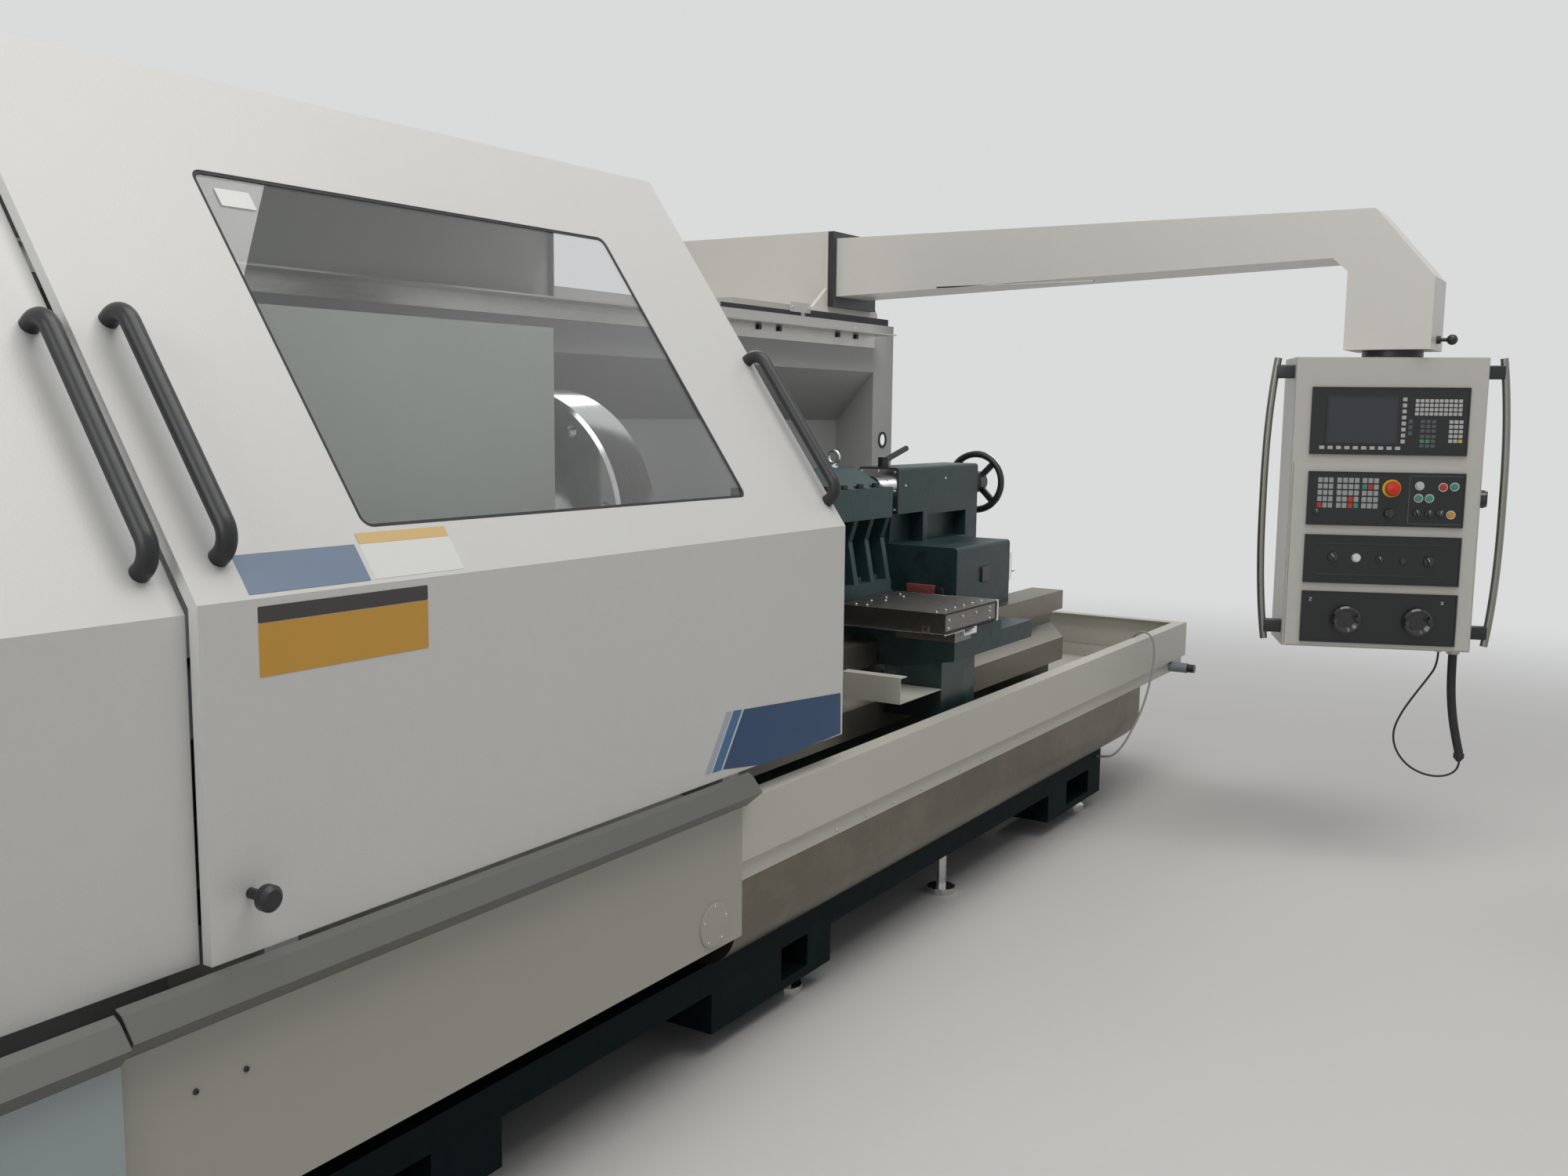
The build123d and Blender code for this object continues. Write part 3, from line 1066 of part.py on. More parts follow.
def make_handwheel():
    """Tailstock handwheel: ring rim, four spokes, hub, and the screw that drives the quill."""
    rim = Pos(HANDWHEEL_X, 0, SPINDLE_Z) * Rot(0, 90, 0) * Torus(
        HANDWHEEL_RADIUS - HANDWHEEL_RIM, HANDWHEEL_RIM)
    hub_left = TAIL_BARREL_RIGHT + TAIL_BOSS_REACH + SLIDING_GAP
    wheel = rim + round_x(hub_left, HANDWHEEL_X + 20, 0, SPINDLE_Z, HANDWHEEL_HUB)
    spoke = block(HANDWHEEL_X - 8, HANDWHEEL_X + 8, -11, 11, SPINDLE_Z,
                  SPINDLE_Z + HANDWHEEL_RADIUS - HANDWHEEL_RIM)
    for index in range(4):
        wheel += turned(spoke, index + 0.5, 4)
    return wheel + round_x(QUILL_LEFT + QUILL_SCREW_END, HANDWHEEL_X, 0, SPINDLE_Z, TAIL_SHAFT_RADIUS)


def make_lever():
    """Quill clamp lever: a stem in the barrel, a round hub and a rising arm."""
    top = SPINDLE_Z + TAIL_BARREL_HALF + SLIDING_GAP
    lever = round_z(LEVER_X, 0, top, top + 34, 19)
    lever += round_z(LEVER_X, 0, top - 28, top, 10)
    arm = Pos(LEVER_X, 0, top + 20) * Rot(0, 90 - LEVER_TILT, 0) * Pos(0, 0, LEVER_LENGTH / 2)
    return lever + arm * Cylinder(10, LEVER_LENGTH)


# Pendant arm and cabinet


def arm_outline(wall):
    """The arm's (y, z) outline, or the hollow inside it for a wall above zero."""
    back = ARM_ROOT_Y + (1 if wall else 0)
    corner = 0.6 * wall
    return [(back, ARM_TOP - wall), (ARM_ELBOW_Y + corner, ARM_ELBOW_TOP - wall),
            (ARM_NOSE_Y + wall, ARM_NOSE_Z - corner), (ARM_NOSE_Y + wall, ARM_DROP_BOTTOM + wall),
            (ARM_DROP_BACK - wall, ARM_DROP_BOTTOM + wall),
            (ARM_DROP_BACK - wall, ARM_LOW_ELBOW - 45 + corner),
            (ARM_DROP_BACK + 50 - corner, ARM_LOW_ELBOW + wall), (back, ARM_LOW_ROOT + wall)]


def make_arm():
    """Hollow cranked arm, open at its flange, with a cable hole over the swivel."""
    right = ARM_LEFT + ARM_WIDTH
    arm = along_x(arm_outline(0), ARM_LEFT, right)
    arm -= along_x(arm_outline(ARM_WALL), ARM_LEFT + ARM_WALL, right - ARM_WALL)
    arm -= round_z(PIVOT_X, PIVOT_Y, ARM_DROP_BOTTOM - 1, ARM_DROP_BOTTOM + ARM_WALL + 1, 30)
    return arm - round_y(PIVOT_X, ARM_NOSE_Y - 1, ARM_NOSE_Y + ARM_WALL + 1, KNOB_Z,
                         KNOB_STEM + RUNNING_GAP)


def make_arm_root():
    """Box beam on the cabinet, with the gusset plate that stands on the rear guard."""
    front = ARM_ROOT_Y + FLANGE_THICKNESS
    plate_back = front + BRACKET_THICKNESS
    plate = [(BRACKET_LEFT, GUARD_TOP), (BRACKET_LEFT, GUARD_TOP + 70),
             (FLANGE_LEFT - 6, GUARD_TOP + 150), (FLANGE_LEFT - 6, FLANGE_TOP),
             (FLANGE_RIGHT, FLANGE_TOP), (FLANGE_RIGHT, GUARD_TOP + 150),
             (BRACKET_RIGHT, GUARD_TOP + 70), (BRACKET_RIGHT, GUARD_TOP)]
    root = along_y(plate, front, plate_back)
    root += block(FLANGE_LEFT, FLANGE_RIGHT, plate_back, ARM_BOX_BACK, FLANGE_LOW, FLANGE_TOP)
    return root - block(FLANGE_LEFT + ARM_WALL, FLANGE_RIGHT - ARM_WALL, front - 1,
                        ARM_BOX_BACK - ARM_WALL, FLANGE_LOW + ARM_WALL, FLANGE_TOP - ARM_WALL)


def make_arm_flange():
    """Dark bolted flange plate between the arm and its root, with the cable opening."""
    back = ARM_ROOT_Y + FLANGE_THICKNESS
    flange = block(FLANGE_LEFT, FLANGE_RIGHT, ARM_ROOT_Y, back, FLANGE_LOW, FLANGE_TOP)
    return flange - block(ARM_LEFT + 40, ARM_LEFT + ARM_WIDTH - 40, ARM_ROOT_Y - 1, back + 1,
                          ARM_LOW_ROOT + FLANGE_OPENING_EDGE, ARM_TOP - FLANGE_OPENING_EDGE)


def make_cabinet():
    """Electrical cabinet behind the guard, open at the top into the arm's root."""
    cabinet = block(CABINET_LEFT, CABINET_RIGHT, CABINET_FRONT, CABINET_BACK, 0, FLANGE_LOW)
    cabinet -= block(CABINET_LEFT + GAUGE, CABINET_RIGHT - GAUGE, CABINET_FRONT + GAUGE,
                     CABINET_BACK - GAUGE, 100, FLANGE_LOW - GAUGE)
    return cabinet - round_z(PIVOT_X, CABINET_FRONT + 200, FLANGE_LOW - GAUGE - 1,
                             FLANGE_LOW + 1, 60)


# Pendant


def on_pendant(shape):
    """Place a shape drawn in the pendant's own frame."""
    return Pos(PIVOT_X, PIVOT_Y, 0) * Rot(0, 0, PENDANT_TURN) * shape


def make_disc():
    """Black swivel disc under the arm, with the cable hole."""
    top = ARM_DROP_BOTTOM
    disc = round_z(PIVOT_X, PIVOT_Y, top - DISC_HEIGHT, top, DISC_RADIUS)
    return disc - round_z(PIVOT_X, PIVOT_Y, top - DISC_HEIGHT - 1, top + 1, 30)


def pendant_sides():
    """Left and right sides of the pendant box."""
    return PENDANT_CENTRE - PENDANT_HALF, PENDANT_CENTRE + PENDANT_HALF


def make_pendant():
    """Pendant box: sheet shell with a proud lower front, neck on top and two cable glands."""
    left, right = pendant_sides()
    back = PENDANT_FRONT + PENDANT_DEPTH
    box = block(left, right, PENDANT_FRONT, back, PENDANT_BOTTOM, PENDANT_TOP)
    box = fillet(box.edges().filter_by(Axis.Z), 6)
    box += block(left + 8, right - 8, PENDANT_FRONT - PENDANT_PROUD, PENDANT_FRONT + 10,
                 PENDANT_BOTTOM + 6, PENDANT_PROUD_TOP)
    neck_top = ARM_DROP_BOTTOM - DISC_HEIGHT - SLIDING_GAP
    box += round_z(0, 0, PENDANT_TOP - 1, neck_top, DISC_RADIUS - 15)
    box -= block(left + PENDANT_WALL, right - PENDANT_WALL, PENDANT_FRONT + PENDANT_WALL,
                 back - PENDANT_WALL, PENDANT_BOTTOM + PENDANT_WALL, PENDANT_TOP - PENDANT_WALL)
    box -= round_z(0, 0, PENDANT_TOP - PENDANT_WALL - 1, neck_top + 1, 30)
    for (x, y, z), reach in ((CONDUIT_ROUTE[0], 20), (CABLE_ROUTE[-1], 9)):
        box += round_z(x, y, z, PENDANT_BOTTOM, reach)
    box -= round_y(STOP_X + PENDANT_CENTRE, PENDANT_FRONT - 20, PENDANT_FRONT + 10, STOP_Z,
                   STEM_RADIUS + RUNNING_GAP)
    box -= round_y(OVERRIDE_X + PENDANT_CENTRE, PENDANT_FRONT - 20, PENDANT_FRONT + 10,
                   OVERRIDE_Z, STEM_RADIUS + RUNNING_GAP)
    for offset in HANDWHEEL_OFFSETS:
        box -= round_y(offset + PENDANT_CENTRE, PENDANT_FRONT - 20, PENDANT_FRONT + 10,
                       ELECTRONIC_WHEEL_Z, STEM_RADIUS + RUNNING_GAP)
    return on_pendant(box)


def panel_face(low):
    """Depth of the front face that a panel at this height is screwed to."""
    return PENDANT_FRONT - (PENDANT_PROUD if low < PENDANT_PROUD_TOP else 0)


def make_panels():
    """Four black operator panels with raised rims, holes for stop, override and wheels."""
    plates = []
    for low, height in PANELS:
        face = panel_face(low)
        left = PENDANT_CENTRE - PANEL_WIDTH / 2
        plate = block(left, left + PANEL_WIDTH, face - PANEL_THICKNESS, face, low, low + height)
        plate -= block(left + 5, left + PANEL_WIDTH - 5, face - PANEL_THICKNESS - 1,
                       face - PANEL_THICKNESS + 2, low + 5, low + height - 5)
        plates.append(plate)
    stems = [(STOP_X, STOP_Z, 1), (OVERRIDE_X, OVERRIDE_Z, 1)]
    stems += [(offset, ELECTRONIC_WHEEL_Z, 3) for offset in HANDWHEEL_OFFSETS]
    for x, z, index in stems:
        plates[index] -= round_y(x + PENDANT_CENTRE, PENDANT_FRONT - 40, PENDANT_FRONT + 1, z,
                                 STEM_RADIUS + RUNNING_GAP)
    return [on_pendant(plate) for plate in plates]


def make_grips():
    """Two bowed side handles, each a bent bar between two mounting blocks."""
    left, right = pendant_sides()
    y = PENDANT_FRONT + 45
    grips = []
    for side, wall in ((-1, left), (1, right)):
        inner = wall + side * GRIP_REACH
        bowed = inner + side * GRIP_BOW
        third = (GRIP_HIGH - GRIP_LOW) / 4
        points = [(inner, y, GRIP_LOW - 12), (bowed, y, GRIP_LOW + third),
                  (bowed, y, GRIP_HIGH - third), (inner, y, GRIP_HIGH + 12)]
        bar = tube(points, 300, GRIP_RADIUS)
        for z in (GRIP_LOW, GRIP_HIGH):
            ends = sorted((wall, inner + side * 6))
            bar += block(ends[0], ends[1], y - 14, y + 14, z - 22, z + 22)
        grips.append(on_pendant(bar))
    return grips


def turned_knob(x, z, face, profile):
    """A knob turned from a (radius, reach) profile, standing out of a panel face."""
    outline = face_of([(x + radius, face - reach) for radius, reach in profile])
    return revolve(Pos(0, 0, z) * outline, Axis((x, face, z), (0, 1, 0)))


def make_stop():
    """Emergency stop: mushroom head on its stem."""
    face = panel_face(STOP_Z) - PANEL_THICKNESS
    profile = [(0, -14), (STEM_RADIUS, -14), (STEM_RADIUS, STOP_STROKE + 2), (STOP_RADIUS - 4,
                                                                           STOP_STROKE + 4),
               (STOP_RADIUS, STOP_STROKE + 10), (STOP_RADIUS - 3, STOP_STROKE + 20),
               (0, STOP_STROKE + 25)]
    return on_pendant(turned_knob(STOP_X + PENDANT_CENTRE, STOP_Z, face, profile))


def make_override():
    """Feed override knob with a pointer ridge."""
    face = panel_face(OVERRIDE_Z) - PANEL_THICKNESS
    x = OVERRIDE_X + PENDANT_CENTRE
    radius = OVERRIDE_RADIUS
    profile = [(0, -14), (STEM_RADIUS, -14), (STEM_RADIUS, -1), (radius, -1), (radius, 10),
               (radius - 2, 14), (0, 14)]
    knob = turned_knob(x, OVERRIDE_Z, face, profile)
    ridge = block(x - 3, x + 3, face - 20, face - 12, OVERRIDE_Z - radius + 2,
                  OVERRIDE_Z + radius - 2)
    return on_pendant(knob + ridge)


def make_electronic_wheel(offset):
    """Electronic handwheel: dished disc with a spinner handle near its rim."""
    face = panel_face(PENDANT_BOTTOM) - PANEL_THICKNESS
    x = offset + PENDANT_CENTRE
    radius = ELECTRONIC_WHEEL_RADIUS
    profile = [(0, -14), (STEM_RADIUS, -14), (STEM_RADIUS, -1), (radius - 6, -1), (radius, 6),
               (radius, 20), (radius - 6, 24), (radius - 18, 18), (0, 18)]
    wheel = turned_knob(x, ELECTRONIC_WHEEL_Z, face, profile)
    spinner = round_y(x + radius - 15, face - 52, face - 16, ELECTRONIC_WHEEL_Z + 8, 8)
    return on_pendant(wheel + spinner)


def make_swivel_knob():
    """Clamp knob for the swivel: threaded stem and ball end on the arm's nose."""
    stem = round_y(PIVOT_X, ARM_NOSE_Y - 42, ARM_NOSE_Y + 20, KNOB_Z, KNOB_STEM)
    stem += round_y(PIVOT_X, ARM_NOSE_Y - 12, ARM_NOSE_Y - 1, KNOB_Z, 13)
    return stem + Pos(PIVOT_X, ARM_NOSE_Y - 46, KNOB_Z) * Sphere(KNOB_RADIUS)


# Free cords


def cord(name, route, diameter):
    """A free cord: its route's runs joined by arcs that each take 0.45 of the shorter run."""
    points = [Vector(*point) for point in route]
    radii = []
    for before, point, after in zip(points, points[1:], points[2:]):
        turn = radians((point - before).get_angle(after - point))
        shorter = min((point - before).length, (after - point).length)
        radii.append(0.45 * shorter / tan(turn / 2))
    solid = tube(points, radii, diameter / 2)
    length = FilletPolyline(*points, radius=radii).length
    share = solid.volume / (pi * (diameter / 2) ** 2 * length)
    print(name, "length", round(length), "volume share", round(share, 4), "radii",
          [round(radius) for radius in radii])
    return solid


pieces["machine_base"] = make_base()
pieces["levelling_feet"] = make_feet()
pieces["bed"] = make_bed()
pieces["chip_chute"] = make_chute()
pieces["drip_pan"] = make_pan()
pieces["chip_tray"] = make_tray()
pieces["drain_pipe"] = make_drain()
pieces["front_panel"] = make_front_panel()
pieces["left_lower_panel"] = make_left_panel()
pieces["door_rail_cover"] = make_rail_cover()
lower_rail, upper_rail = make_rails()
pieces["door_rails"] = Compound(children=[lower_rail, upper_rail])
pieces["rear_guard"] = make_guard()
pieces["headstock"] = make_headstock()
pieces["headstock_cover"] = make_head_cover()
pieces["spindle_bearings"] = make_bearings()
pieces["spindle"] = make_spindle()
pieces["spindle_pulley"] = pulley(SPINDLE_PULLEY_RADIUS, SPINDLE_Z, SPINDLE_RADIUS)
pieces["drive_belt"] = make_belt()
pieces["spindle_motor"] = make_motor()
pieces["motor_pulley"] = make_motor_pulley()
pieces["left_end_cover"] = make_end_cover()
pieces["z_servo_motor"] = make_servo()
pieces["chuck_body"] = make_chuck()
for jaw in range(JAW_COUNT):
    pieces[f"chuck_jaw_{jaw + 1}"] = make_jaw(jaw)
pieces["z_ball_screw"] = make_z_screw()
pieces["x_ball_screw"] = make_x_screw()
pieces["saddle"] = make_saddle()
pieces["apron"] = make_apron()
pieces["cross_slide"] = make_cross_slide()
pieces["slide_cover"] = make_slide_cover()
pieces["boring_bar_holder"] = make_holder()
pieces["holder_cap"] = make_holder_cap()
pieces["tailstock"] = make_tailstock()
pieces["quill"] = make_quill()
pieces["tailstock_handwheel"] = make_handwheel()
pieces["clamp_lever"] = make_lever()
pieces["left_door"] = door_shell(LEFT_DOOR_LEFT, LEFT_DOOR_RIGHT, DOOR_STEP)
pieces["right_door"] = make_right_door()
pieces["door_window"] = make_window()
pieces["left_door_handle"] = make_handle(LEFT_DOOR_HANDLE, DOOR_STEP)
pieces["right_door_handles"] = Compound(children=[make_handle(x, 0) for x in RIGHT_DOOR_HANDLES])
pieces["door_plunger"] = make_plunger()
pieces["arm_root"] = make_arm_root()
pieces["arm_flange"] = make_arm_flange()
pieces["arm_beam"] = make_arm()
pieces["swivel_disc"] = make_disc()
pieces["swivel_knob"] = make_swivel_knob()
pieces["electrical_cabinet"] = make_cabinet()
pieces["pendant_box"] = make_pendant()
pieces["control_panels"] = Compound(children=make_panels())
pieces["pendant_grips"] = Compound(children=make_grips())
pieces["emergency_stop"] = make_stop()
pieces["override_knob"] = make_override()
pieces["pendant_handwheel_z"] = make_electronic_wheel(HANDWHEEL_OFFSETS[0])
pieces["pendant_handwheel_x"] = make_electronic_wheel(HANDWHEEL_OFFSETS[1])
pieces["pendant_conduit"] = on_pendant(cord("conduit", CONDUIT_ROUTE, CONDUIT_DIAMETER))
pieces["pendant_cable"] = on_pendant(cord("pendant cable", CABLE_ROUTE, CABLE_DIAMETER))
pieces["tray_cable"] = cord("tray cable", TRAY_CABLE_ROUTE, TRAY_CABLE_DIAMETER)

# The machine's origin is on the floor under the middle of its outline
CORDS = ("pendant_conduit", "pendant_cable", "tray_cable")
corners = [piece.bounding_box() for name, piece in pieces.items() if name not in CORDS]
MIDDLE_X = (min(box.min.X for box in corners) + max(box.max.X for box in corners)) / 2
MIDDLE_Y = (min(box.min.Y for box in corners) + max(box.max.Y for box in corners)) / 2
print("origin at", round(MIDDLE_X, 4), round(MIDDLE_Y, 4))
os.makedirs("parts", exist_ok=True)
for name, piece in pieces.items():
    export_step(Pos(-MIDDLE_X, -MIDDLE_Y, 0) * piece, f"parts/{name}.step")
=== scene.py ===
"""Looks of a long CNC turning lathe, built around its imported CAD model."""

from math import cos, pi, radians, sin

import bpy
import numpy as np
from bpy.props import FloatProperty, FloatVectorProperty, PointerProperty
from mathutils import Matrix, Vector


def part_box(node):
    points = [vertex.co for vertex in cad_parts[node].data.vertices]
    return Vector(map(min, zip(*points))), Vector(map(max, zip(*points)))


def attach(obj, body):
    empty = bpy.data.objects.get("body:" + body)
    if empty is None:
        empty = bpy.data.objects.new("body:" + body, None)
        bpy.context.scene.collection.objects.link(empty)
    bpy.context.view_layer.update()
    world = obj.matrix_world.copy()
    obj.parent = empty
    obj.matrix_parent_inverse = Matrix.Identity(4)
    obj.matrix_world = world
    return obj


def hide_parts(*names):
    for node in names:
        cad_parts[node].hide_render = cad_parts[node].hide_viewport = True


bl_info = {
    "name": "Turning Lathe Looks",
    "version": (1, 0, 0),
    "blender": (4, 5, 0),
    "location": "View3D > Sidebar > Lathe",
    "description": "Finishes, fittings and stage for a CNC turning lathe",
    "category": "Object",
}

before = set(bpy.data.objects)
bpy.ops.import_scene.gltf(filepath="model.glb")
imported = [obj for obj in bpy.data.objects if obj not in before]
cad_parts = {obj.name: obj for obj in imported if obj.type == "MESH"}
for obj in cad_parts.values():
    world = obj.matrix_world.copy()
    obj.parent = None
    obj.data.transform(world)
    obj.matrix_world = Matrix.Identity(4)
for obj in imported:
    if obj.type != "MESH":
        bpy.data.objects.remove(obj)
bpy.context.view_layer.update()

# The machine's own drawing: millimetres from the spindle axis, the floor and the bed's zero
CHUCK_BACK = -370.0
SPINDLE_Z = 1233.0
CHUCK_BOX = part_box("chuck_body")
SHIFT = np.array([
    CHUCK_BOX[0][0] * 1000 - CHUCK_BACK,
    (CHUCK_BOX[0][1] + CHUCK_BOX[1][1]) * 500,
    0.0,
])
DOOR_FRONT = -650.0
PAN_END = 2437.0
APRON_LEFT = 819.0
DRAIN_CAP_BACK = -712.0
WAYS_LOW = 690.0
DOOR_BEND = 1227.0
SLOPE_RUN = np.array([0.0, 600.0, 858.0]) / np.hypot(600.0, 858.0)
SLOPE_OUT = np.array([0.0, -SLOPE_RUN[2], SLOPE_RUN[1]])
PENDANT_TURN = radians(-69.0)
PENDANT_CENTRE = -26.0
DISC_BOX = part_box("swivel_disc")
X, Y, Z = np.eye(3)

# The pendant's own axes with Z: right across its face, and into or out of its box
PENDANT_RIGHT = np.array([cos(PENDANT_TURN), sin(PENDANT_TURN), 0.0])
PENDANT_IN = np.array([-sin(PENDANT_TURN), cos(PENDANT_TURN), 0.0])
PENDANT_OUT = -PENDANT_IN


def at(points):
    """Drawing millimetres to metres in the row's frame."""
    return (np.asarray(points, dtype=float) + SHIFT) / 1000


def pendant(points):
    """Pendant millimetres, measured from the swivel axis at floor level, to drawing ones."""
    centre = (np.array(DISC_BOX[0]) + np.array(DISC_BOX[1])) * 500 - SHIFT
    centre[2] = 0
    axes = np.array([PENDANT_RIGHT, PENDANT_IN, Z])
    return centre + np.asarray(points, dtype=float) @ axes


# Surfaces: each is a stack of closed rings, an array of (rings, points, 3)


def circle(count):
    """Unit circle: cos and sin of equal steps of one turn."""
    angle = np.arange(count) * 2 * pi / count
    return np.stack([np.cos(angle), np.sin(angle)], axis=1)


def rounded(width, height, radius, per_corner=5):
    """Rounded rectangle: quarter circles about the four corner centres, in turn."""
    quarter = np.linspace(0, pi / 2, per_corner)
    corners = ((1, 1), (-1, 1), (-1, -1), (1, -1))
    rings = []
    for index, (side, level) in enumerate(corners):
        angle = quarter + index * pi / 2
        centre = side * (width / 2 - radius), level * (height / 2 - radius)
        rings.append(np.stack([centre[0] + radius * np.cos(angle),
                               centre[1] + radius * np.sin(angle)], axis=1))
    return np.concatenate(rings)


def place(flat, origin, across, up, out, heights):
    """Put flat (u, v) rings at heights along out: origin + u across + v up + height out."""
    flat = np.asarray(flat)
    lift = np.asarray(heights)[:, None, None] * np.asarray(out)
    return np.asarray(origin) + flat[..., :1] * across + flat[..., 1:2] * up + lift


def turned(profile, origin, out, across, count=24):
    """Surface of revolution: each (radius, height) of the profile is one circle."""
    profile = np.asarray(profile, dtype=float)
    up = np.cross(out, across)
    flat = profile[:, None, :1] * circle(count)[None]
    return place(flat, origin, np.asarray(across), up, out, profile[:, 1])


def plate(width, height, depth, radius, origin, out, across, edge=0.8):
    """Flat plate: rounded rectangles that step in over the rim, then stay on its flat top."""
    up = np.cross(out, across)
    insets = (0.0, 0.0, edge * 0.3, edge, edge * 1.6)
    levels = (0.0, depth - edge, depth - edge * 0.3, depth, depth)
    flat = [rounded(width - 2 * step, height - 2 * step, max(radius - step, 0.05))
            for step in insets]
    return place(flat, origin, np.asarray(across), up, out, levels)


def frame_of(outer, inner, depth, origin, out, across):
    """Flat frame: an outline and a hole of as many points, carried from a face to depth."""
    up = np.cross(out, across)
    return place([outer, outer, inner, inner, outer], origin, np.asarray(across), up, out,
                 (0.0, depth, depth, 0.0, 0.0))


def slab(corners, depth, origin, out, across):
    """Prism over a polygon with a middle that sees all of its corners."""
    up = np.cross(out, across)
    return place([corners, corners], origin, np.asarray(across), up, out, (0.0, depth))


def box(left, right, front, back, low, high, radius=1.0, edge=0.8):
    """Upright block with soft corners, between drawing coordinates."""
    return plate(right - left, back - front, high - low, radius,
                 ((left + right) / 2, (front + back) / 2, low), Z, X, edge)


def screw(origin, out, across, radius, height, socket=0.5):
    """Screw head: a short turned drum with a soft rim and a round socket."""
    hole = radius * socket
    return turned(((radius, 0), (radius, height * 0.75), (radius * 0.88, height),
                   (hole, height), (hole * 0.9, height * 0.4)), origin, out, across, 16)


def torus(radius, thick, origin, out, across, steps=40):
    """Ring: a circle of radius thick whose centre goes round the axis once."""
    section = circle(12) * thick
    closing = np.concatenate([section, section[:1]])
    return turned(closing + (radius, 0.0), origin, out, across, steps)


def carried(section, path, across):
    """Section (u, v) carried along a path: each ring stands square to the path's tangent."""
    path = np.asarray(path, dtype=float)
    tangent = np.gradient(path, axis=0)
    tangent /= np.linalg.norm(tangent, axis=1)[:, None]
    side = np.cross(tangent, np.broadcast_to(across, tangent.shape))
    side /= np.linalg.norm(side, axis=1)[:, None]
    up = np.cross(side, tangent)
    section = np.asarray(section)
    return (path[:, None] + section[None, :, :1] * side[:, None]
            + section[None, :, 1:] * up[:, None])


def skin(rings):
    """Points, quads and end fans of a stack; one that ends on its first ring is a loop."""
    looped = np.allclose(rings[0], rings[-1])
    rings = rings[:-1] if looped else rings
    rows, columns = rings.shape[:2]
    row, column = np.meshgrid(np.arange(rows - (not looped)), np.arange(columns),
                              indexing="ij")
    after, above = (column + 1) % columns, (row + 1) % rows
    quads = np.stack([row * columns + column, row * columns + after,
                      above * columns + after, above * columns + column], axis=-1)
    quads = quads.reshape(-1, 4)
    points = rings.reshape(-1, 3)
    if looped:
        return points, quads, np.empty((0, 3), dtype=int)
    step = np.arange(columns)
    following = (step + 1) % columns
    top = (rows - 1) * columns
    low = np.stack([following, step, np.full(columns, len(points))], axis=1)
    high = np.stack([top + step, top + following, np.full(columns, len(points) + 1)], axis=1)
    points = np.concatenate([points, rings[[0, -1]].mean(axis=1)])
    return points, quads, np.concatenate([low, high])


def volume(points, quads, fans):
    """Signed volume: a sixth of the sum of the triangles' triple products."""
    corners = points[np.concatenate([quads[:, :3], quads[:, [0, 2, 3]], fans])]
    return (corners[:, 0] * np.cross(corners[:, 1], corners[:, 2])).sum() / 6


def piece(name, body, slot, finish_name, *stacks):
    """Join stacks in drawing millimetres into one object that rides on a body."""
    points, corners, sizes, offset = [], [], [], 0
    for rings in stacks:
        some, quads, fans = skin(np.asarray(rings, dtype=float))
        if volume(some - some.mean(axis=0), quads, fans) < 0:
            quads, fans = quads[:, ::-1], fans[:, ::-1]
        points.append(some)
        corners += [(quads + offset).ravel(), (fans + offset).ravel()]
        sizes += [np.full(len(quads), 4), np.full(len(fans), 3)]
        offset += len(some)
    places = at(np.concatenate(points))
    corners, sizes = np.concatenate(corners), np.concatenate(sizes)
    mesh = bpy.data.meshes.new(name)
    mesh.vertices.add(len(places))
    mesh.vertices.foreach_set("co", places.astype(np.float32).ravel())
    mesh.loops.add(len(corners))
    mesh.loops.foreach_set("vertex_index", corners.astype(np.int32))
    mesh.polygons.add(len(sizes))
    mesh.polygons.foreach_set("loop_start", (np.cumsum(sizes) - sizes).astype(np.int32))
    mesh.polygons.foreach_set("use_smooth", np.ones(len(sizes), dtype=bool))
    mesh.update(calc_edges=True)
    if mesh.validate():
        raise RuntimeError(f"the surface of {name} has faulty faces")
    mesh.set_sharp_from_angle(angle=radians(32))
    mesh.materials.append(finish(finish_name))
    made = bpy.data.objects.new(name, mesh)
    bpy.context.scene.collection.objects.link(made)
    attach(made, body)
    return made


# Node groups: patterns that more than one finish uses


class Wiring:
    """Adds nodes to a tree and joins them."""

    def __init__(self, tree):
        self.tree = tree

    def feed(self, socket, value):
        """Link another node's output to a socket, or set a plain value on it."""
        if isinstance(value, bpy.types.NodeSocket):
            self.tree.links.new(value, socket)
        else:
            socket.default_value = value

    def node(self, kind, inputs=None, **options):
        made = self.tree.nodes.new(kind)
        for name, value in options.items():
            setattr(made, name, value)
        for name, value in (inputs or {}).items():
            self.feed(made.inputs[name], value)
        return made

    def noise(self, vector, scale, detail, roughness):
        made = self.node("ShaderNodeTexNoise", {"Vector": vector, "Scale": scale,
                                                "Detail": detail, "Roughness": roughness})
        return made.outputs["Fac"]

    def math(self, operation, first, second):
        return self.node("ShaderNodeMath", {0: first, 1: second}, operation=operation).outputs[0]

    def spread(self, value, middle, reach):
        """How far a pattern is from its middle, times a reach."""
        return self.math("MULTIPLY", self.math("SUBTRACT", value, middle), reach)

    def fit(self, value, low, high, to_low=0.0, to_high=1.0):
        made = self.node("ShaderNodeMapRange", {"Value": value, "From Min": low, "From Max": high,
                                                "To Min": to_low, "To Max": to_high})
        return made.outputs["Result"]

    def mix(self, factor, first, second):
        made = self.node("ShaderNodeMix", {0: factor, 6: first, 7: second}, data_type="RGBA")
        return made.outputs[2]


COLOUR, NUMBER, VECTOR = "NodeSocketColor", "NodeSocketFloat", "NodeSocketVector"
SOCKET_KINDS = {1: NUMBER, 3: VECTOR, 4: COLOUR}


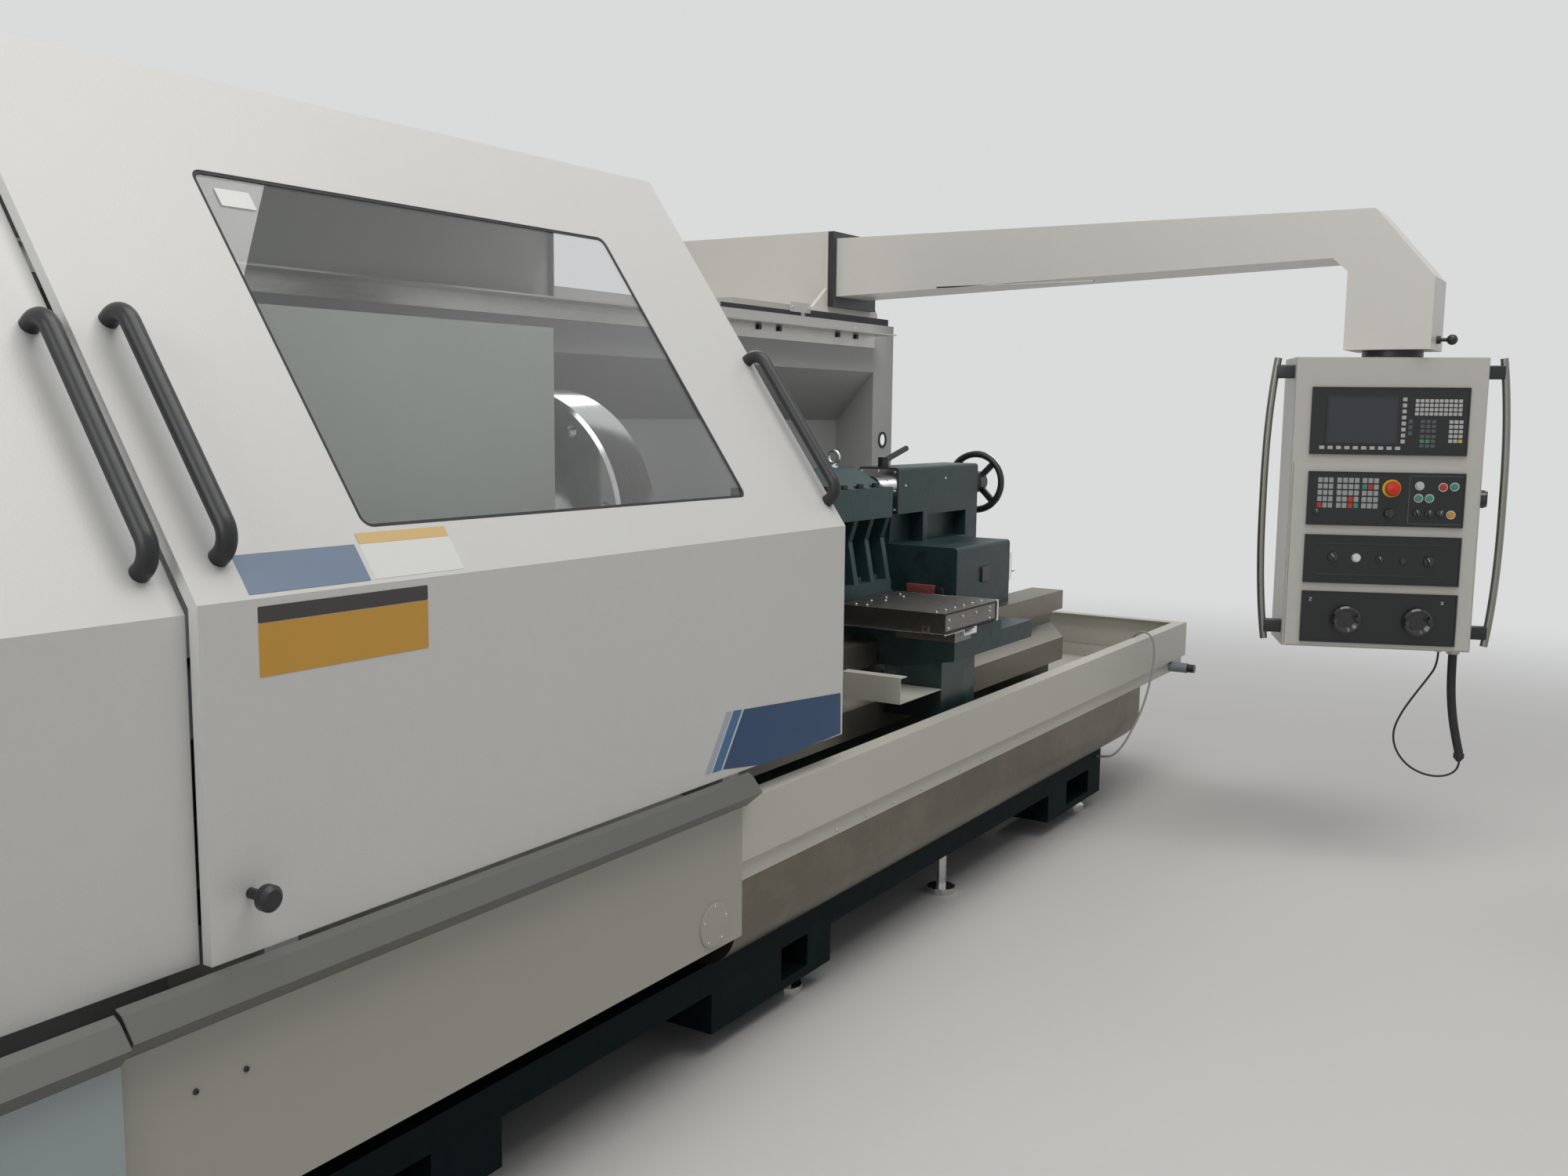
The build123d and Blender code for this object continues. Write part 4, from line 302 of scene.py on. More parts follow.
def open_group(name, defaults):
    """A pattern's node group: the place and named inputs on one side, a finish on the other."""
    tree = bpy.data.node_groups.new(name, "ShaderNodeTree")
    tree.interface.new_socket("Vector", in_out="INPUT", socket_type=VECTOR)
    for socket, default in defaults.items():
        made = tree.interface.new_socket(socket, in_out="INPUT",
                                         socket_type=SOCKET_KINDS[np.size(default)])
        made.default_value = default
    for socket, kind in (("Colour", COLOUR), ("Roughness", NUMBER), ("Normal", VECTOR)):
        tree.interface.new_socket(socket, in_out="OUTPUT", socket_type=kind)
    return Wiring(tree), tree.nodes.new("NodeGroupInput").outputs


def close_group(wire, colour, value, rough, height, strength, distance):
    """Join a colour times a value, a roughness and a bump to the group's outputs."""
    shade = wire.node("ShaderNodeHueSaturation", {"Value": value, "Color": colour})
    bump = wire.node("ShaderNodeBump", {"Height": height, "Strength": strength,
                                        "Distance": distance})
    wire.node("NodeGroupOutput", {"Colour": shade.outputs[0], "Roughness": rough,
                                  "Normal": bump.outputs[0]})
    return wire.tree


def coat_group():
    """Textured coat: fine grain as bump, faint cloudy tone and a little dust in the hollows."""
    wire, given = open_group("Textured Coat", {
        "Colour": (0.7, 0.7, 0.7, 1), "Grain": 260.0, "Depth": 0.25, "Cloud": 0.06,
        "Rough": 0.42})
    grain = wire.noise(given["Vector"], given["Grain"], 2.0, 0.55)
    cloud = wire.noise(given["Vector"], 1.7, 4.0, 0.6)
    speck = wire.noise(given["Vector"], 38.0, 2.0, 0.5)
    tone = wire.math("ADD", wire.spread(cloud, 0.5, given["Cloud"]),
                     wire.spread(speck, 0.5, 0.03))
    rough = wire.math("ADD", given["Rough"], wire.spread(speck, 0.5, 0.12))
    return close_group(wire, given["Colour"], wire.math("ADD", 1.0, tone), rough, grain,
                       given["Depth"], 0.0008)


def casting_group():
    """Enamel over cast iron: shallow lumps, brush marks, worn lighter patches."""
    wire, given = open_group("Casting Enamel", {
        "Colour": (0.1, 0.2, 0.2, 1), "Worn Colour": (0.2, 0.3, 0.3, 1), "Lumps": 28.0,
        "Depth": 0.35, "Rough": 0.35})
    lumps = wire.noise(given["Vector"], given["Lumps"], 4.0, 0.55)
    patches = wire.noise(given["Vector"], 5.0, 6.0, 0.65)
    grime = wire.noise(given["Vector"], 14.0, 5.0, 0.7)
    worn = wire.math("MULTIPLY", wire.fit(patches, 0.56, 0.78), 0.5)
    colour = wire.mix(worn, given["Colour"], given["Worn Colour"])
    rough = wire.math("ADD", given["Rough"], wire.spread(grime, 0.5, 0.35))
    return close_group(wire, colour, wire.fit(grime, 0.30, 0.52, 0.62, 1.0), rough, lumps,
                       given["Depth"], 0.0025)


def metal_group():
    """Ground or brushed metal: noise drawn out along one axis, with oil stains."""
    wire, given = open_group("Drawn Metal", {
        "Stretch": (4.0, 300.0, 300.0), "Colour": (0.6, 0.6, 0.6, 1),
        "Stain Colour": (0.3, 0.25, 0.2, 1), "Stain": 0.3, "Rough": 0.3})
    drawn = wire.node("ShaderNodeVectorMath", {0: given["Vector"], 1: given["Stretch"]},
                      operation="MULTIPLY").outputs[0]
    lines = wire.noise(drawn, 1.0, 3.0, 0.6)
    stains = wire.fit(wire.noise(given["Vector"], 7.0, 6.0, 0.68), 0.45, 0.75)
    colour = wire.mix(wire.math("MULTIPLY", stains, given["Stain"]), given["Colour"],
                      given["Stain Colour"])
    rough = wire.math("ADD", given["Rough"], wire.spread(lines, 0.4, 0.22))
    return close_group(wire, colour, wire.fit(lines, 0.3, 0.7, 0.92, 1.06), rough, lines,
                       0.12, 0.0005)


GROUPS = {"Textured Coat": coat_group, "Casting Enamel": casting_group,
          "Drawn Metal": metal_group}


def settings():
    """The sizes and colours that a user may change."""
    return bpy.context.scene.lathe_looks


def colour_setting(name, description, default):
    """One of the paints that a user may change."""
    return FloatVectorProperty(name=name, description=description, default=default,
                               subtype="COLOR", size=3, min=0, max=1)


class LatheLooks(bpy.types.PropertyGroup):
    """Colours of the machine's paints and sizes of its small parts."""

    door_colour: colour_setting("Door paint", "Textured paint of the doors",
                                (0.66, 0.655, 0.63))
    guard_colour: colour_setting("Guard paint", "Neutral grey paint of the rear guard",
                                 (0.50, 0.50, 0.49))
    tray_colour: colour_setting("Tray paint", "Warm light paint of the chip tray and its ledge",
                                (0.55, 0.54, 0.48))
    casting_colour: colour_setting("Casting enamel", "Dark teal of the slides and tailstock",
                                   (0.022, 0.046, 0.046))
    holder_colour: colour_setting("Holder enamel", "Lighter teal of the boring bar holder",
                                  (0.032, 0.072, 0.074))
    # The base's dark green enamel is darkened towards black as painted shade.
    base_shaded_colour: colour_setting("Base enamel with painted shade", "Near-black green of the machine base",
                                (0.005, 0.012, 0.013))
    stripe_colour: colour_setting("Stripe", "Plain stripe at the door's lower right corner",
                                  (0.007, 0.055, 0.155))
    cap_screw: FloatProperty(
        name="Cap screw head", description="Head diameter of the holder's cap screws, in mm",
        default=26.0, min=8.0, max=60.0)
    sheet_screw: FloatProperty(
        name="Sheet screw head", description="Head diameter of screws in sheet metal, in mm",
        default=9.0, min=4.0, max=20.0)


class StageSettings(bpy.types.PropertyGroup):
    """Light and floor around the machine."""

    floor_size: FloatProperty(
        name="Floor", description="Side of the floor", subtype="DISTANCE", unit="LENGTH",
        default=60.0, min=10.0, max=200.0)
    sky_strength: FloatProperty(
        name="Sky", description="Strength of the even light from all sides",
        default=0.22, min=0.0, max=3.0)


# Finishes: each recipe is a pattern group, the group's values and the shader's own values


def rgb(colour):
    """A colour with its alpha."""
    return (*colour, 1.0)


def coat(colour, grain=260.0, depth=0.25, cloud=0.06, rough=0.42, varnish=0.0):
    """Textured or smooth paint, plastic or rubber."""
    return "Textured Coat", {"Colour": rgb(colour), "Grain": grain, "Depth": depth,
                             "Cloud": cloud, "Rough": rough}, {"Coat Weight": varnish}


def plain(colour, rough=0.45):
    """Smooth coloured plastic or film."""
    return coat(colour, grain=500.0, depth=0.04, cloud=0.05, rough=rough)


def enamel(colour, worn=(0.2, 0.3, 0.3), lumps=28.0, depth=0.35, rough=0.40, gloss=0.30):
    """Brushed enamel on a casting."""
    return "Casting Enamel", {"Colour": rgb(colour), "Worn Colour": rgb(worn), "Lumps": lumps,
                              "Depth": depth, "Rough": rough}, {"Specular IOR Level": gloss}


def metal(colour, stretch, stain=0.3, rough=0.3, stain_colour=(0.28, 0.24, 0.19)):
    """Bare metal with its grain along one axis."""
    return "Drawn Metal", {"Colour": rgb(colour), "Stretch": stretch, "Stain": stain,
                           "Stain Colour": rgb(stain_colour), "Rough": rough}, {"Metallic": 1.0}


def recipes(look):
    """Every finish by its name. The colours that a user may change come from the look."""
    black, oily = (0.018, 0.018, 0.019), (0.3, 0.25, 0.2)
    return {
        "door paint": coat(look.door_colour, grain=240.0, depth=0.32, cloud=0.05, rough=0.36),
        "tray paint": coat(look.tray_colour, grain=320.0, depth=0.12, cloud=0.08, rough=0.40),
        "guard paint": coat(look.guard_colour, grain=320.0, depth=0.12, cloud=0.08, rough=0.40),
        # The front panel and its cap wear the door paint darkened as painted shade, for the shade
        # under the door's nosing.
        "front panel paint with painted shade": coat((0.40, 0.39, 0.345), grain=240.0, depth=0.2, cloud=0.10),
        "left panel paint": coat((0.36, 0.42, 0.42), depth=0.15, rough=0.38),
        "cover paint": coat((0.58, 0.61, 0.57), grain=300.0, depth=0.04, cloud=0.16, rough=0.45),
        "end cover paint": coat((0.34, 0.35, 0.335), grain=320.0, depth=0.02, cloud=0.10,
                                rough=0.5),
        "chute paint": coat((0.36, 0.345, 0.29), grain=320.0, depth=0.1, cloud=0.25, rough=0.30),
        "nosing paint": coat((0.12, 0.12, 0.108), cloud=0.2),
        # Pendant, cabinet and arm share one paint: the pendant's copy is darker as painted shade,
        # the arm's lighter as painted light.
        "pendant paint with painted shade": coat((0.53, 0.515, 0.475), grain=340.0, depth=0.12, cloud=0.05,
                              rough=0.38),
        "arm paint with painted light": coat((0.70, 0.68, 0.63), grain=340.0, depth=0.12, cloud=0.05, rough=0.38),
        "black paint": coat((0.022, 0.024, 0.026), grain=350.0, depth=0.2, cloud=0.2, rough=0.36),
        "panel film": coat((0.011, 0.012, 0.013), grain=420.0, depth=0.12, cloud=0.2, rough=0.34),
        "black plastic": coat((0.016, 0.017, 0.018), grain=700.0, depth=0.10, cloud=0.3,
                              rough=0.38),
        "gloss black": coat((0.012, 0.012, 0.013), grain=700.0, depth=0.02, cloud=0.2, rough=0.14,
                            varnish=0.5),
        "black rubber": coat(black, grain=500.0, depth=0.2, cloud=0.3, rough=0.68),
        "grey sheath": coat((0.30, 0.30, 0.28), grain=300.0, depth=0.1, rough=0.5),
        "stop red": coat((0.60, 0.030, 0.012), grain=500.0, depth=0.05, rough=0.30),
        "pipe": coat((0.20, 0.24, 0.26), rough=0.5),
        "pipe cap": coat(black, rough=0.35),
        "floor": coat((0.62, 0.61, 0.59), grain=3.0, depth=0.0, cloud=0.02, rough=0.75),
        "casting enamel": enamel(look.casting_colour, (0.036, 0.064, 0.062)),
        "holder enamel": enamel(look.holder_colour, (0.055, 0.105, 0.105)),
        "motor enamel": enamel((0.09, 0.10, 0.11), (0.14, 0.15, 0.16)),
        # Dark green enamel darkened towards black: partly the base's own colour, partly painted
        # shade.
        "base enamel with painted shade": enamel(look.base_shaded_colour, (0.014, 0.026, 0.028), lumps=20.0, depth=0.5,
                              rough=0.60, gloss=0.06),
        "bed enamel": enamel(look.casting_colour, lumps=20.0, rough=0.35),
        "apron enamel": enamel(look.casting_colour, rough=0.35),
        "way metal": metal((0.22, 0.20, 0.17), (3.0, 220.0, 220.0), stain=0.6, rough=0.38,
                           stain_colour=oily),
        "pan metal": metal((0.17, 0.155, 0.125), (5.0, 200.0, 200.0), stain=0.45, rough=0.34,
                           stain_colour=oily),
        "ground steel": metal((0.50, 0.49, 0.47), (4.0, 260.0, 260.0), stain=0.35, rough=0.28),
        "polished steel": metal((0.72, 0.72, 0.72), (300.0, 12.0, 12.0), stain=0.06, rough=0.14),
        "dark stainless": metal((0.25, 0.235, 0.215), (5.0, 160.0, 160.0), stain=0.5, rough=0.30,
                                stain_colour=(0.16, 0.13, 0.10)),
        "chrome": metal((0.80, 0.80, 0.80), (60.0, 60.0, 60.0), stain=0.05, rough=0.10),
        "screw steel": metal((0.62, 0.62, 0.60), (400.0, 400.0, 400.0), stain=0.1, rough=0.25),
        "grip metal": metal((0.27, 0.26, 0.24), (400.0, 400.0, 12.0), stain=0.4, rough=0.36),
        "stripe blue": plain(look.stripe_colour, 0.3),
        "bar blue": plain((0.05, 0.15, 0.33), 0.3),
        "bar grey": plain((0.42, 0.45, 0.52), 0.3),
        "amber film": plain((0.62, 0.33, 0.045), 0.35),
        "pale amber film": plain((0.68, 0.47, 0.20), 0.35),
        "dark film": plain((0.05, 0.045, 0.04), 0.35),
        "slate film": plain((0.17, 0.23, 0.32), 0.35),
        "white film": plain((0.74, 0.74, 0.72), 0.35),
        "wiper felt": plain((0.20, 0.045, 0.035), 0.7),
        "screen": plain((0.030, 0.036, 0.045), 0.12),
        "light key": plain((0.46, 0.46, 0.44), 0.4),
        "grey key": plain((0.33, 0.34, 0.34), 0.4),
        "dark key": plain((0.085, 0.09, 0.10), 0.4),
        "green key": plain((0.05, 0.27, 0.10), 0.4),
        "yellow key": plain((0.62, 0.42, 0.04), 0.4),
        "red key": plain((0.50, 0.035, 0.02), 0.4),
        "green button": plain((0.045, 0.25, 0.19), 0.25),
        "clear lens": plain((0.50, 0.52, 0.52), 0.2),
        "amber lens": plain((0.60, 0.27, 0.03), 0.25),
        "white lens": plain((0.72, 0.72, 0.70), 0.2),
        "white line": plain((0.7, 0.7, 0.68)),
        "panel line": plain((0.09, 0.095, 0.10), 0.5),
        "dark trim": plain((0.022, 0.022, 0.023), 0.4),
        "stop yellow": plain((0.66, 0.50, 0.02), 0.4),
    }


def new_material(name):
    """A new material with its wiring, its shader's inputs and its place on the object."""
    made = bpy.data.materials.new(name)
    made.use_nodes = True
    wire = Wiring(made.node_tree)
    shader = made.node_tree.nodes["Principled BSDF"].inputs
    return made, wire, shader, wire.node("ShaderNodeTexCoord").outputs["Object"]


def pattern(wire, where, group, values):
    """The outputs of one pattern group at a place, with a recipe's values."""
    tree = bpy.data.node_groups.get(group) or GROUPS[group]()
    return wire.node("ShaderNodeGroup", {"Vector": where, **values}, node_tree=tree).outputs


def feed_all(wire, shader, values):
    """Link or set several of a shader's inputs."""
    for socket, value in values.items():
        wire.feed(shader[socket], value)


def finish(name):
    """The material of one recipe, made once: its pattern feeds its shader."""
    if name in bpy.data.materials:
        return bpy.data.materials[name]
    group, values, shader_values = recipes(settings())[name]
    made, wire, shader, where = new_material(name)
    shown = pattern(wire, where, group, values)
    feed_all(wire, shader, {**shader_values, "Base Color": shown["Colour"],
                            "Roughness": shown["Roughness"], "Normal": shown["Normal"]})
    return made


def layered(name, low, high, axis, place):
    """One recipe before a drawing coordinate along an axis and another past it."""
    made, wire, shader, where = new_material(name)
    level = (place + SHIFT["XYZ".index(axis)]) / 1000
    past = wire.math("GREATER_THAN",
                     wire.node("ShaderNodeSeparateXYZ", {0: where}).outputs[axis], level)
    sides = [recipes(settings())[side] for side in (low, high)]
    first, second = (pattern(wire, where, group, values) for group, values, _ in sides)
    metals = [shader_values.get("Metallic", 0.0) for _, _, shader_values in sides]
    rough = wire.node("ShaderNodeMix", {0: past, 2: first["Roughness"], 3: second["Roughness"]},
                      data_type="FLOAT")
    feed_all(wire, shader, {
        "Base Color": wire.mix(past, first["Colour"], second["Colour"]),
        "Roughness": rough.outputs[0], "Normal": first["Normal"],
        "Metallic": wire.fit(past, 0.0, 1.0, *metals)})
    return made


def window_glass():
    """Grey laminated glass, a little dusty in soft clouds."""
    made, wire, shader, where = new_material("window glass")
    dust = wire.noise(where, 2.5, 4.0, 0.6)
    feed_all(wire, shader, {
        "Transmission Weight": 1.0, "IOR": 1.45,
        "Base Color": wire.mix(dust, (0.80, 0.82, 0.82, 1), (0.87, 0.88, 0.88, 1)),
        "Roughness": wire.fit(dust, 0.3, 0.7, 0.0, 0.01)})
    return made


def paint(node, material):
    """Give all slots of a CAD node one finish."""
    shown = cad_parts[node]
    if not shown.material_slots:
        shown.data.materials.append(material)
    for slot in shown.material_slots:
        slot.material = material


# CAD nodes of each finish, and those whose finish changes along an axis
PAINTED = {
    "base enamel with painted shade": ("machine_base",),
    "chute paint": ("chip_chute",),
    "tray paint": ("chip_tray",),
    "front panel paint with painted shade": ("front_panel",),
    "left panel paint": ("left_lower_panel",),
    "nosing paint": ("door_rail_cover",),
    "guard paint": ("rear_guard",),
    "door paint": ("left_door", "right_door"),
    "cover paint": ("headstock_cover",),
    "end cover paint": ("left_end_cover",),
    "casting enamel": ("headstock", "saddle", "cross_slide", "tailstock"),
    "holder enamel": ("boring_bar_holder", "holder_cap"),
    "motor enamel": ("spindle_motor",),
    "screw steel": ("levelling_feet",),
    "ground steel": ("door_rails", "spindle_bearings", "spindle_pulley", "motor_pulley",
                     "chuck_jaw_1", "chuck_jaw_2", "chuck_jaw_3"),
    "polished steel": ("spindle", "chuck_body", "z_ball_screw", "x_ball_screw", "quill"),
    "dark stainless": ("slide_cover",),
    "black rubber": ("drive_belt",),
    "black paint": ("z_servo_motor", "tailstock_handwheel", "arm_flange", "swivel_disc"),
    "black plastic": ("clamp_lever", "left_door_handle", "right_door_handles", "door_plunger",
                      "swivel_knob"),
    "arm paint with painted light": ("arm_root", "arm_beam"),
    "pendant paint with painted shade": ("electrical_cabinet", "pendant_box"),
    "panel film": ("control_panels",),
    "stop red": ("emergency_stop",),
    "gloss black": ("override_knob", "pendant_handwheel_z", "pendant_handwheel_x"),
}
LAYERED = {
    "bed": ("bed", "bed enamel", "way metal", "Z", WAYS_LOW),
    "drip_pan": ("pan", "pan metal", "tray paint", "X", PAN_END),
    "apron": ("apron", "tray paint", "apron enamel", "X", APRON_LEFT),
    "drain_pipe": ("drain pipe", "pipe cap", "pipe", "Y", DRAIN_CAP_BACK),
}


class LATHE_OT_paint_frame(bpy.types.Operator):
    """Give every CAD piece its own finish"""

    bl_idname = "lathe.paint_frame"
    bl_label = "Paint CAD pieces"

    def execute(self, context):
        for name, nodes in PAINTED.items():
            for node in nodes:
                paint(node, finish(name))
        for node, layers in LAYERED.items():
            paint(node, layered(*layers))
        paint("door_window", window_glass())
        return {"FINISHED"}


# Cord routes as in the part's source, in millimetres
CONDUIT_DIAMETER = 28.0
CONDUIT_ROUTE = ((236, -62, 722), (236, -62, 640), (243, -61, 550), (258, -60, 460),
                 (278, -58, 385))
CABLE_DIAMETER = 7.0
CABLE_ROUTE = ((278, -58, 383), (284, -58, 356), (270, -60, 318), (226, -63, 300),
               (168, -66, 306), (112, -69, 336), (72, -70, 390), (62, -70, 450),
               (84, -69, 512), (120, -67, 572), (160, -65, 632), (190, -64, 682),
               (190, -64, 727))
TRAY_CABLE_DIAMETER = 8.0
TRAY_CABLE_ROUTE = (
    (2500, -505, 453), (2499, -508, 505), (2492, -532, 558), (2482, -566, 604),
    (2475, -592, 646), (2468, -628, 664), (2460, -666, 648),
    (2450, -682, 600), (2436, -684, 540), (2412, -682, 480), (2380, -678, 420),
    (2340, -670, 360), (2296, -656, 305), (2258, -640, 255), (2225, -618, 218),
    (2210, -590, 205), (2210, -550, 205))


def spline_length(made):
    """Length of a cord's line, from its own curve without thickness."""
    bare = made.data.copy()
    bare.bevel_depth = 0
    carrier = bpy.data.objects.new("measure", bare)
    mesh = bpy.data.meshes.new_from_object(carrier)
    points = np.array([vertex.co[:] for vertex in mesh.vertices])
    bpy.data.objects.remove(carrier)
    return float(np.linalg.norm(np.diff(points, axis=0), axis=1).sum())


def cord(name, route, diameter, finish_name, body, slot, node, **facts):
    """A smooth cord: a NURBS curve whose control points are the route's corners."""
    curve = bpy.data.curves.new(name, "CURVE")
    curve.dimensions = "3D"
    curve.bevel_depth = diameter / 2000
    curve.bevel_resolution = 4
    curve.resolution_u = 16
    curve.use_fill_caps = True
    spline = curve.splines.new("NURBS")
    spline.points.add(len(route) - 1)
    for control, point in zip(spline.points, at(route).tolist()):
        control.co = (*point, 1.0)
    spline.order_u = 3
    spline.use_endpoint_u = True
    curve.materials.append(finish(finish_name))
    made = bpy.data.objects.new(name, curve)
    bpy.context.scene.collection.objects.link(made)
    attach(made, body)
    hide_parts(node)
    spline_length(made)


class LATHE_OT_cords(bpy.types.Operator):
    """Make the pendant's conduit and cable and the tray's cable"""

    bl_idname = "lathe.cords"
    bl_label = "Cords"

    def execute(self, context):
        ferrule = piece("conduit_ferrule", "pendant", "rubber", "black rubber",
                        turned(((14, 0), (17, 2), (17, 16), (9, 26), (5, 30)),
                               pendant(CONDUIT_ROUTE[-1]), -Z, PENDANT_RIGHT))
        cord("conduit", pendant(CONDUIT_ROUTE), CONDUIT_DIAMETER, "black rubber", "pendant",
             "rubber", "pendant_conduit", far_end="connector", stiffness="stiff",
             with_pieces=[ferrule])
        cord("loop_cable", pendant(CABLE_ROUTE), CABLE_DIAMETER, "black rubber", "pendant",
             "rubber", "pendant_cable", far_end="object", stiffness="medium")
        cord("tray_lead", TRAY_CABLE_ROUTE, TRAY_CABLE_DIAMETER, "grey sheath", "frame",
             "cable_grey", "tray_cable", far_end="object", stiffness="medium")
        return {"FINISHED"}


# Places on the frame, in drawing millimetres
PANEL_CAP = (-465.0, DOOR_FRONT, 389.0)
CAP_SCREW_CIRCLE = 42.0
RIVETS = ((-1728, 539), (-1645, 539))
STRIP_FRONT = -637.0
STRIP_SCREW_Z = 462.0
STRIP_SCREWS = (85, 238, 389, 551, 793, 952, 1104, 1265)
GUARD_FACE = 350.0
PLATE_FACE = 347.0
RAIL_CLAMPS = (1193, 1322, 1729, 1866)
GUARD_HOLE = (2101.0, GUARD_FACE, 1393.0)
GUARD_SCREWS = ((1728, GUARD_FACE, 1818), (1871, GUARD_FACE, 1818),
                (1416, PLATE_FACE, 1871), (1522, PLATE_FACE, 1871))


class LATHE_OT_front(bpy.types.Operator):
    """Fit the front panel, the tray and the rear guard"""

    bl_idname = "lathe.front"
    bl_label = "Frame fittings"

    def execute(self, context):
        head = settings().sheet_screw / 2
        centre = np.array(PANEL_CAP)
        turns = np.arange(5) * 2 * pi / 5 + 0.3
        cap_screws = [centre + (CAP_SCREW_CIRCLE * cos(turn), -4, CAP_SCREW_CIRCLE * sin(turn))
                      for turn in turns]
        for name, slot, finish_name, *stacks in (
                # The cap takes the front panel's darkened paint: painted shade.
                ("panel_cap", "door_paint", "front panel paint with painted shade",
                 turned(((50, 0), (50, 3), (48, 4), (44, 4.4)), centre, -Y, X, 40)),
                ("panel_cap_screws", "ground_steel", "screw steel",
                 *(screw(place, -Y, X, head * 0.8, 2.5) for place in cap_screws)),
                ("left_panel_rivets", "black_metal", "black plastic",
                 *(screw((x, DOOR_FRONT, z), -Y, X, head, 3, 0.3) for x, z in RIVETS)),
                ("strip_screws", "ground_steel", "screw steel",
                 *(screw((x, STRIP_FRONT, STRIP_SCREW_Z), -Y, X, head, 3)
                   for x in STRIP_SCREWS)),
                ("guard_seals", "rubber", "black rubber",
                 box(978, 1477, GUARD_FACE, 354, 1842, 1858, 1, 0.5),
                 box(1509, 2135, GUARD_FACE, 354, 1842, 1867, 1, 0.5)),
                ("rail_clamps", "black_metal", "black plastic",
                 *(box(x - 11, x + 11, 338, GUARD_FACE, 1779, 1795, 2) for x in RAIL_CLAMPS)),
                ("guard_grommet", "rubber", "black rubber",
                 frame_of(circle(32) * 32, circle(32) * 23, 4, GUARD_HOLE, -Y, X)),
                ("arm_rail", "guard_paint", "tray paint",
                 box(2080, 2100, -512, 115, 1978, 1984, 2)),
                ("guard_screws", "ground_steel", "screw steel",
                 *(screw(place, -Y, X, head, 3) for place in GUARD_SCREWS)),
                ("guard_plate", "guard_paint", "guard paint",
                 box(1402, 1536, PLATE_FACE, GUARD_FACE, 1854, 1889, 1.2, 0.6))):
            piece(name, "frame", slot, finish_name, *stacks)
        return {"FINISHED"}


# The right door's window and the corners of the stripe's parts
WINDOW_MIDDLE = (-805.0, 461.0)
WINDOW_SIZE = (1090.0, 720.0)
GLASS_DEPTH = 3.0
STRIPE = ((-432, 729), (-352, 848), (71, 815), (74, 713), (-268, 706))
STRIPE_BAR = ((-472, 730), (-440, 729), (-360, 849), (-392, 852))
STRIPE_EDGE = ((-500, 731), (-478, 730), (-398, 852), (-420, 854))
AMBER_X = -1435
SLATE_X = -1496
WHITE_X = -1280


def on_slope(x, run, lift=0.0):
    """Place on the door's slope, from the bend up along it."""
    return np.array([x, DOOR_FRONT, DOOR_BEND]) + SLOPE_RUN * run + SLOPE_OUT * lift


def stripe_part(corners):
    """Film on the door's upright face, between corners across and up."""
    return slab(corners, 0.5, (0.0, DOOR_FRONT, 0.0), -Y, X)


def field(width, height, place, out=SLOPE_OUT, depth=0.6):
    """Plain colour field with its middle at a place."""
    return plate(width, height, depth, 2, place, out, X, 0.2)


class LATHE_OT_right_door(bpy.types.Operator):
    """Fit the right door's window gasket and plain colour fields"""

    bl_idname = "lathe.right_door"
    bl_label = "Right door"

    def execute(self, context):
        wide, high = WINDOW_SIZE
        piece("window_gasket", "right_door", "rubber", "black rubber",
              frame_of(rounded(wide, high, 22, 9), rounded(wide - 14, high - 14, 16, 9), 1.5,
                       on_slope(*WINDOW_MIDDLE, -GLASS_DEPTH), SLOPE_OUT, X))
        for name, finish_name, *stacks in (
                ("stripe", "stripe blue", stripe_part(STRIPE)),
                ("stripe_bar", "bar blue", stripe_part(STRIPE_BAR)),
                ("stripe_edge", "bar grey", stripe_part(STRIPE_EDGE)),
                ("amber_field", "amber film", field(324, 78, (AMBER_X, DOOR_FRONT, 1151), -Y)),
                ("amber_band", "dark film", field(324, 24, (AMBER_X, DOOR_FRONT, 1203), -Y)),
                ("slate_field", "slate film", field(222, 66, on_slope(SLATE_X, 40))),
                ("white_fields", "white film", field(190, 84, on_slope(WHITE_X, 50)),
                 field(70, 38, on_slope(WHITE_X, 768, -GLASS_DEPTH))),
                ("pale_band", "pale amber film",
                 field(190, 20, on_slope(WHITE_X, 82), depth=0.9))):
            piece(name, "right_door", "door_paint", finish_name, *stacks)
        return {"FINISHED"}


# Places on the saddle's slide cover
COVER_TOP = 930.0
COVER_FRONT = -606.0
COVER_MIDDLE = (917.5, COVER_FRONT, 900.5)
TOP_SCREWS = ((766, -298), (860, -298), (954, -298), (1048, -298), (770, -333), (887, -333),
              (1004, -333), (752, -572), (812, -572), (874, -572), (935, -572), (997, -572),
              (1060, -572))
FRONT_SCREWS = ((766, 908), (764, 884), (859, 909), (952, 910), (1049, 915), (1047, 903),
                (1048, 882))
CATCH = (735, -547, 881)


class LATHE_OT_saddle(bpy.types.Operator):
    """Fit the slide cover's screws, edging and catch plate"""

    bl_idname = "lathe.saddle"
    bl_label = "Saddle"

    def execute(self, context):
        head = settings().sheet_screw / 2
        piece("cover_screws", "saddle", "ground_steel", "screw steel",
              *(screw((x, y, COVER_TOP), Z, X, head, 3) for x, y in TOP_SCREWS),
              *(screw((x, COVER_FRONT, z), -Y, X, head, 3) for x, z in FRONT_SCREWS))
        piece("cover_edging", "saddle", "rubber", "black rubber",
              frame_of(rounded(361, 57, 3), rounded(352, 48, 2), 1.6, COVER_MIDDLE, -Y, X))
        piece("catch_plate", "saddle", "stainless", "polished steel",
              frame_of(rounded(22, 19, 2), rounded(7, 10, 3), 2, CATCH, -X, -Y),
              box(1100, 1115, COVER_FRONT, -252, 868, 932), box(860, 946, -612, -600, 851, 871),
              box(728, 930, -612, -252, 867, 871, 1, 0.6))
        piece("catch_hole", "saddle", "black_metal", "black plastic",
              plate(10, 13, 1, 2, CATCH, -X, -Y, 0.3))
        return {"FINISHED"}


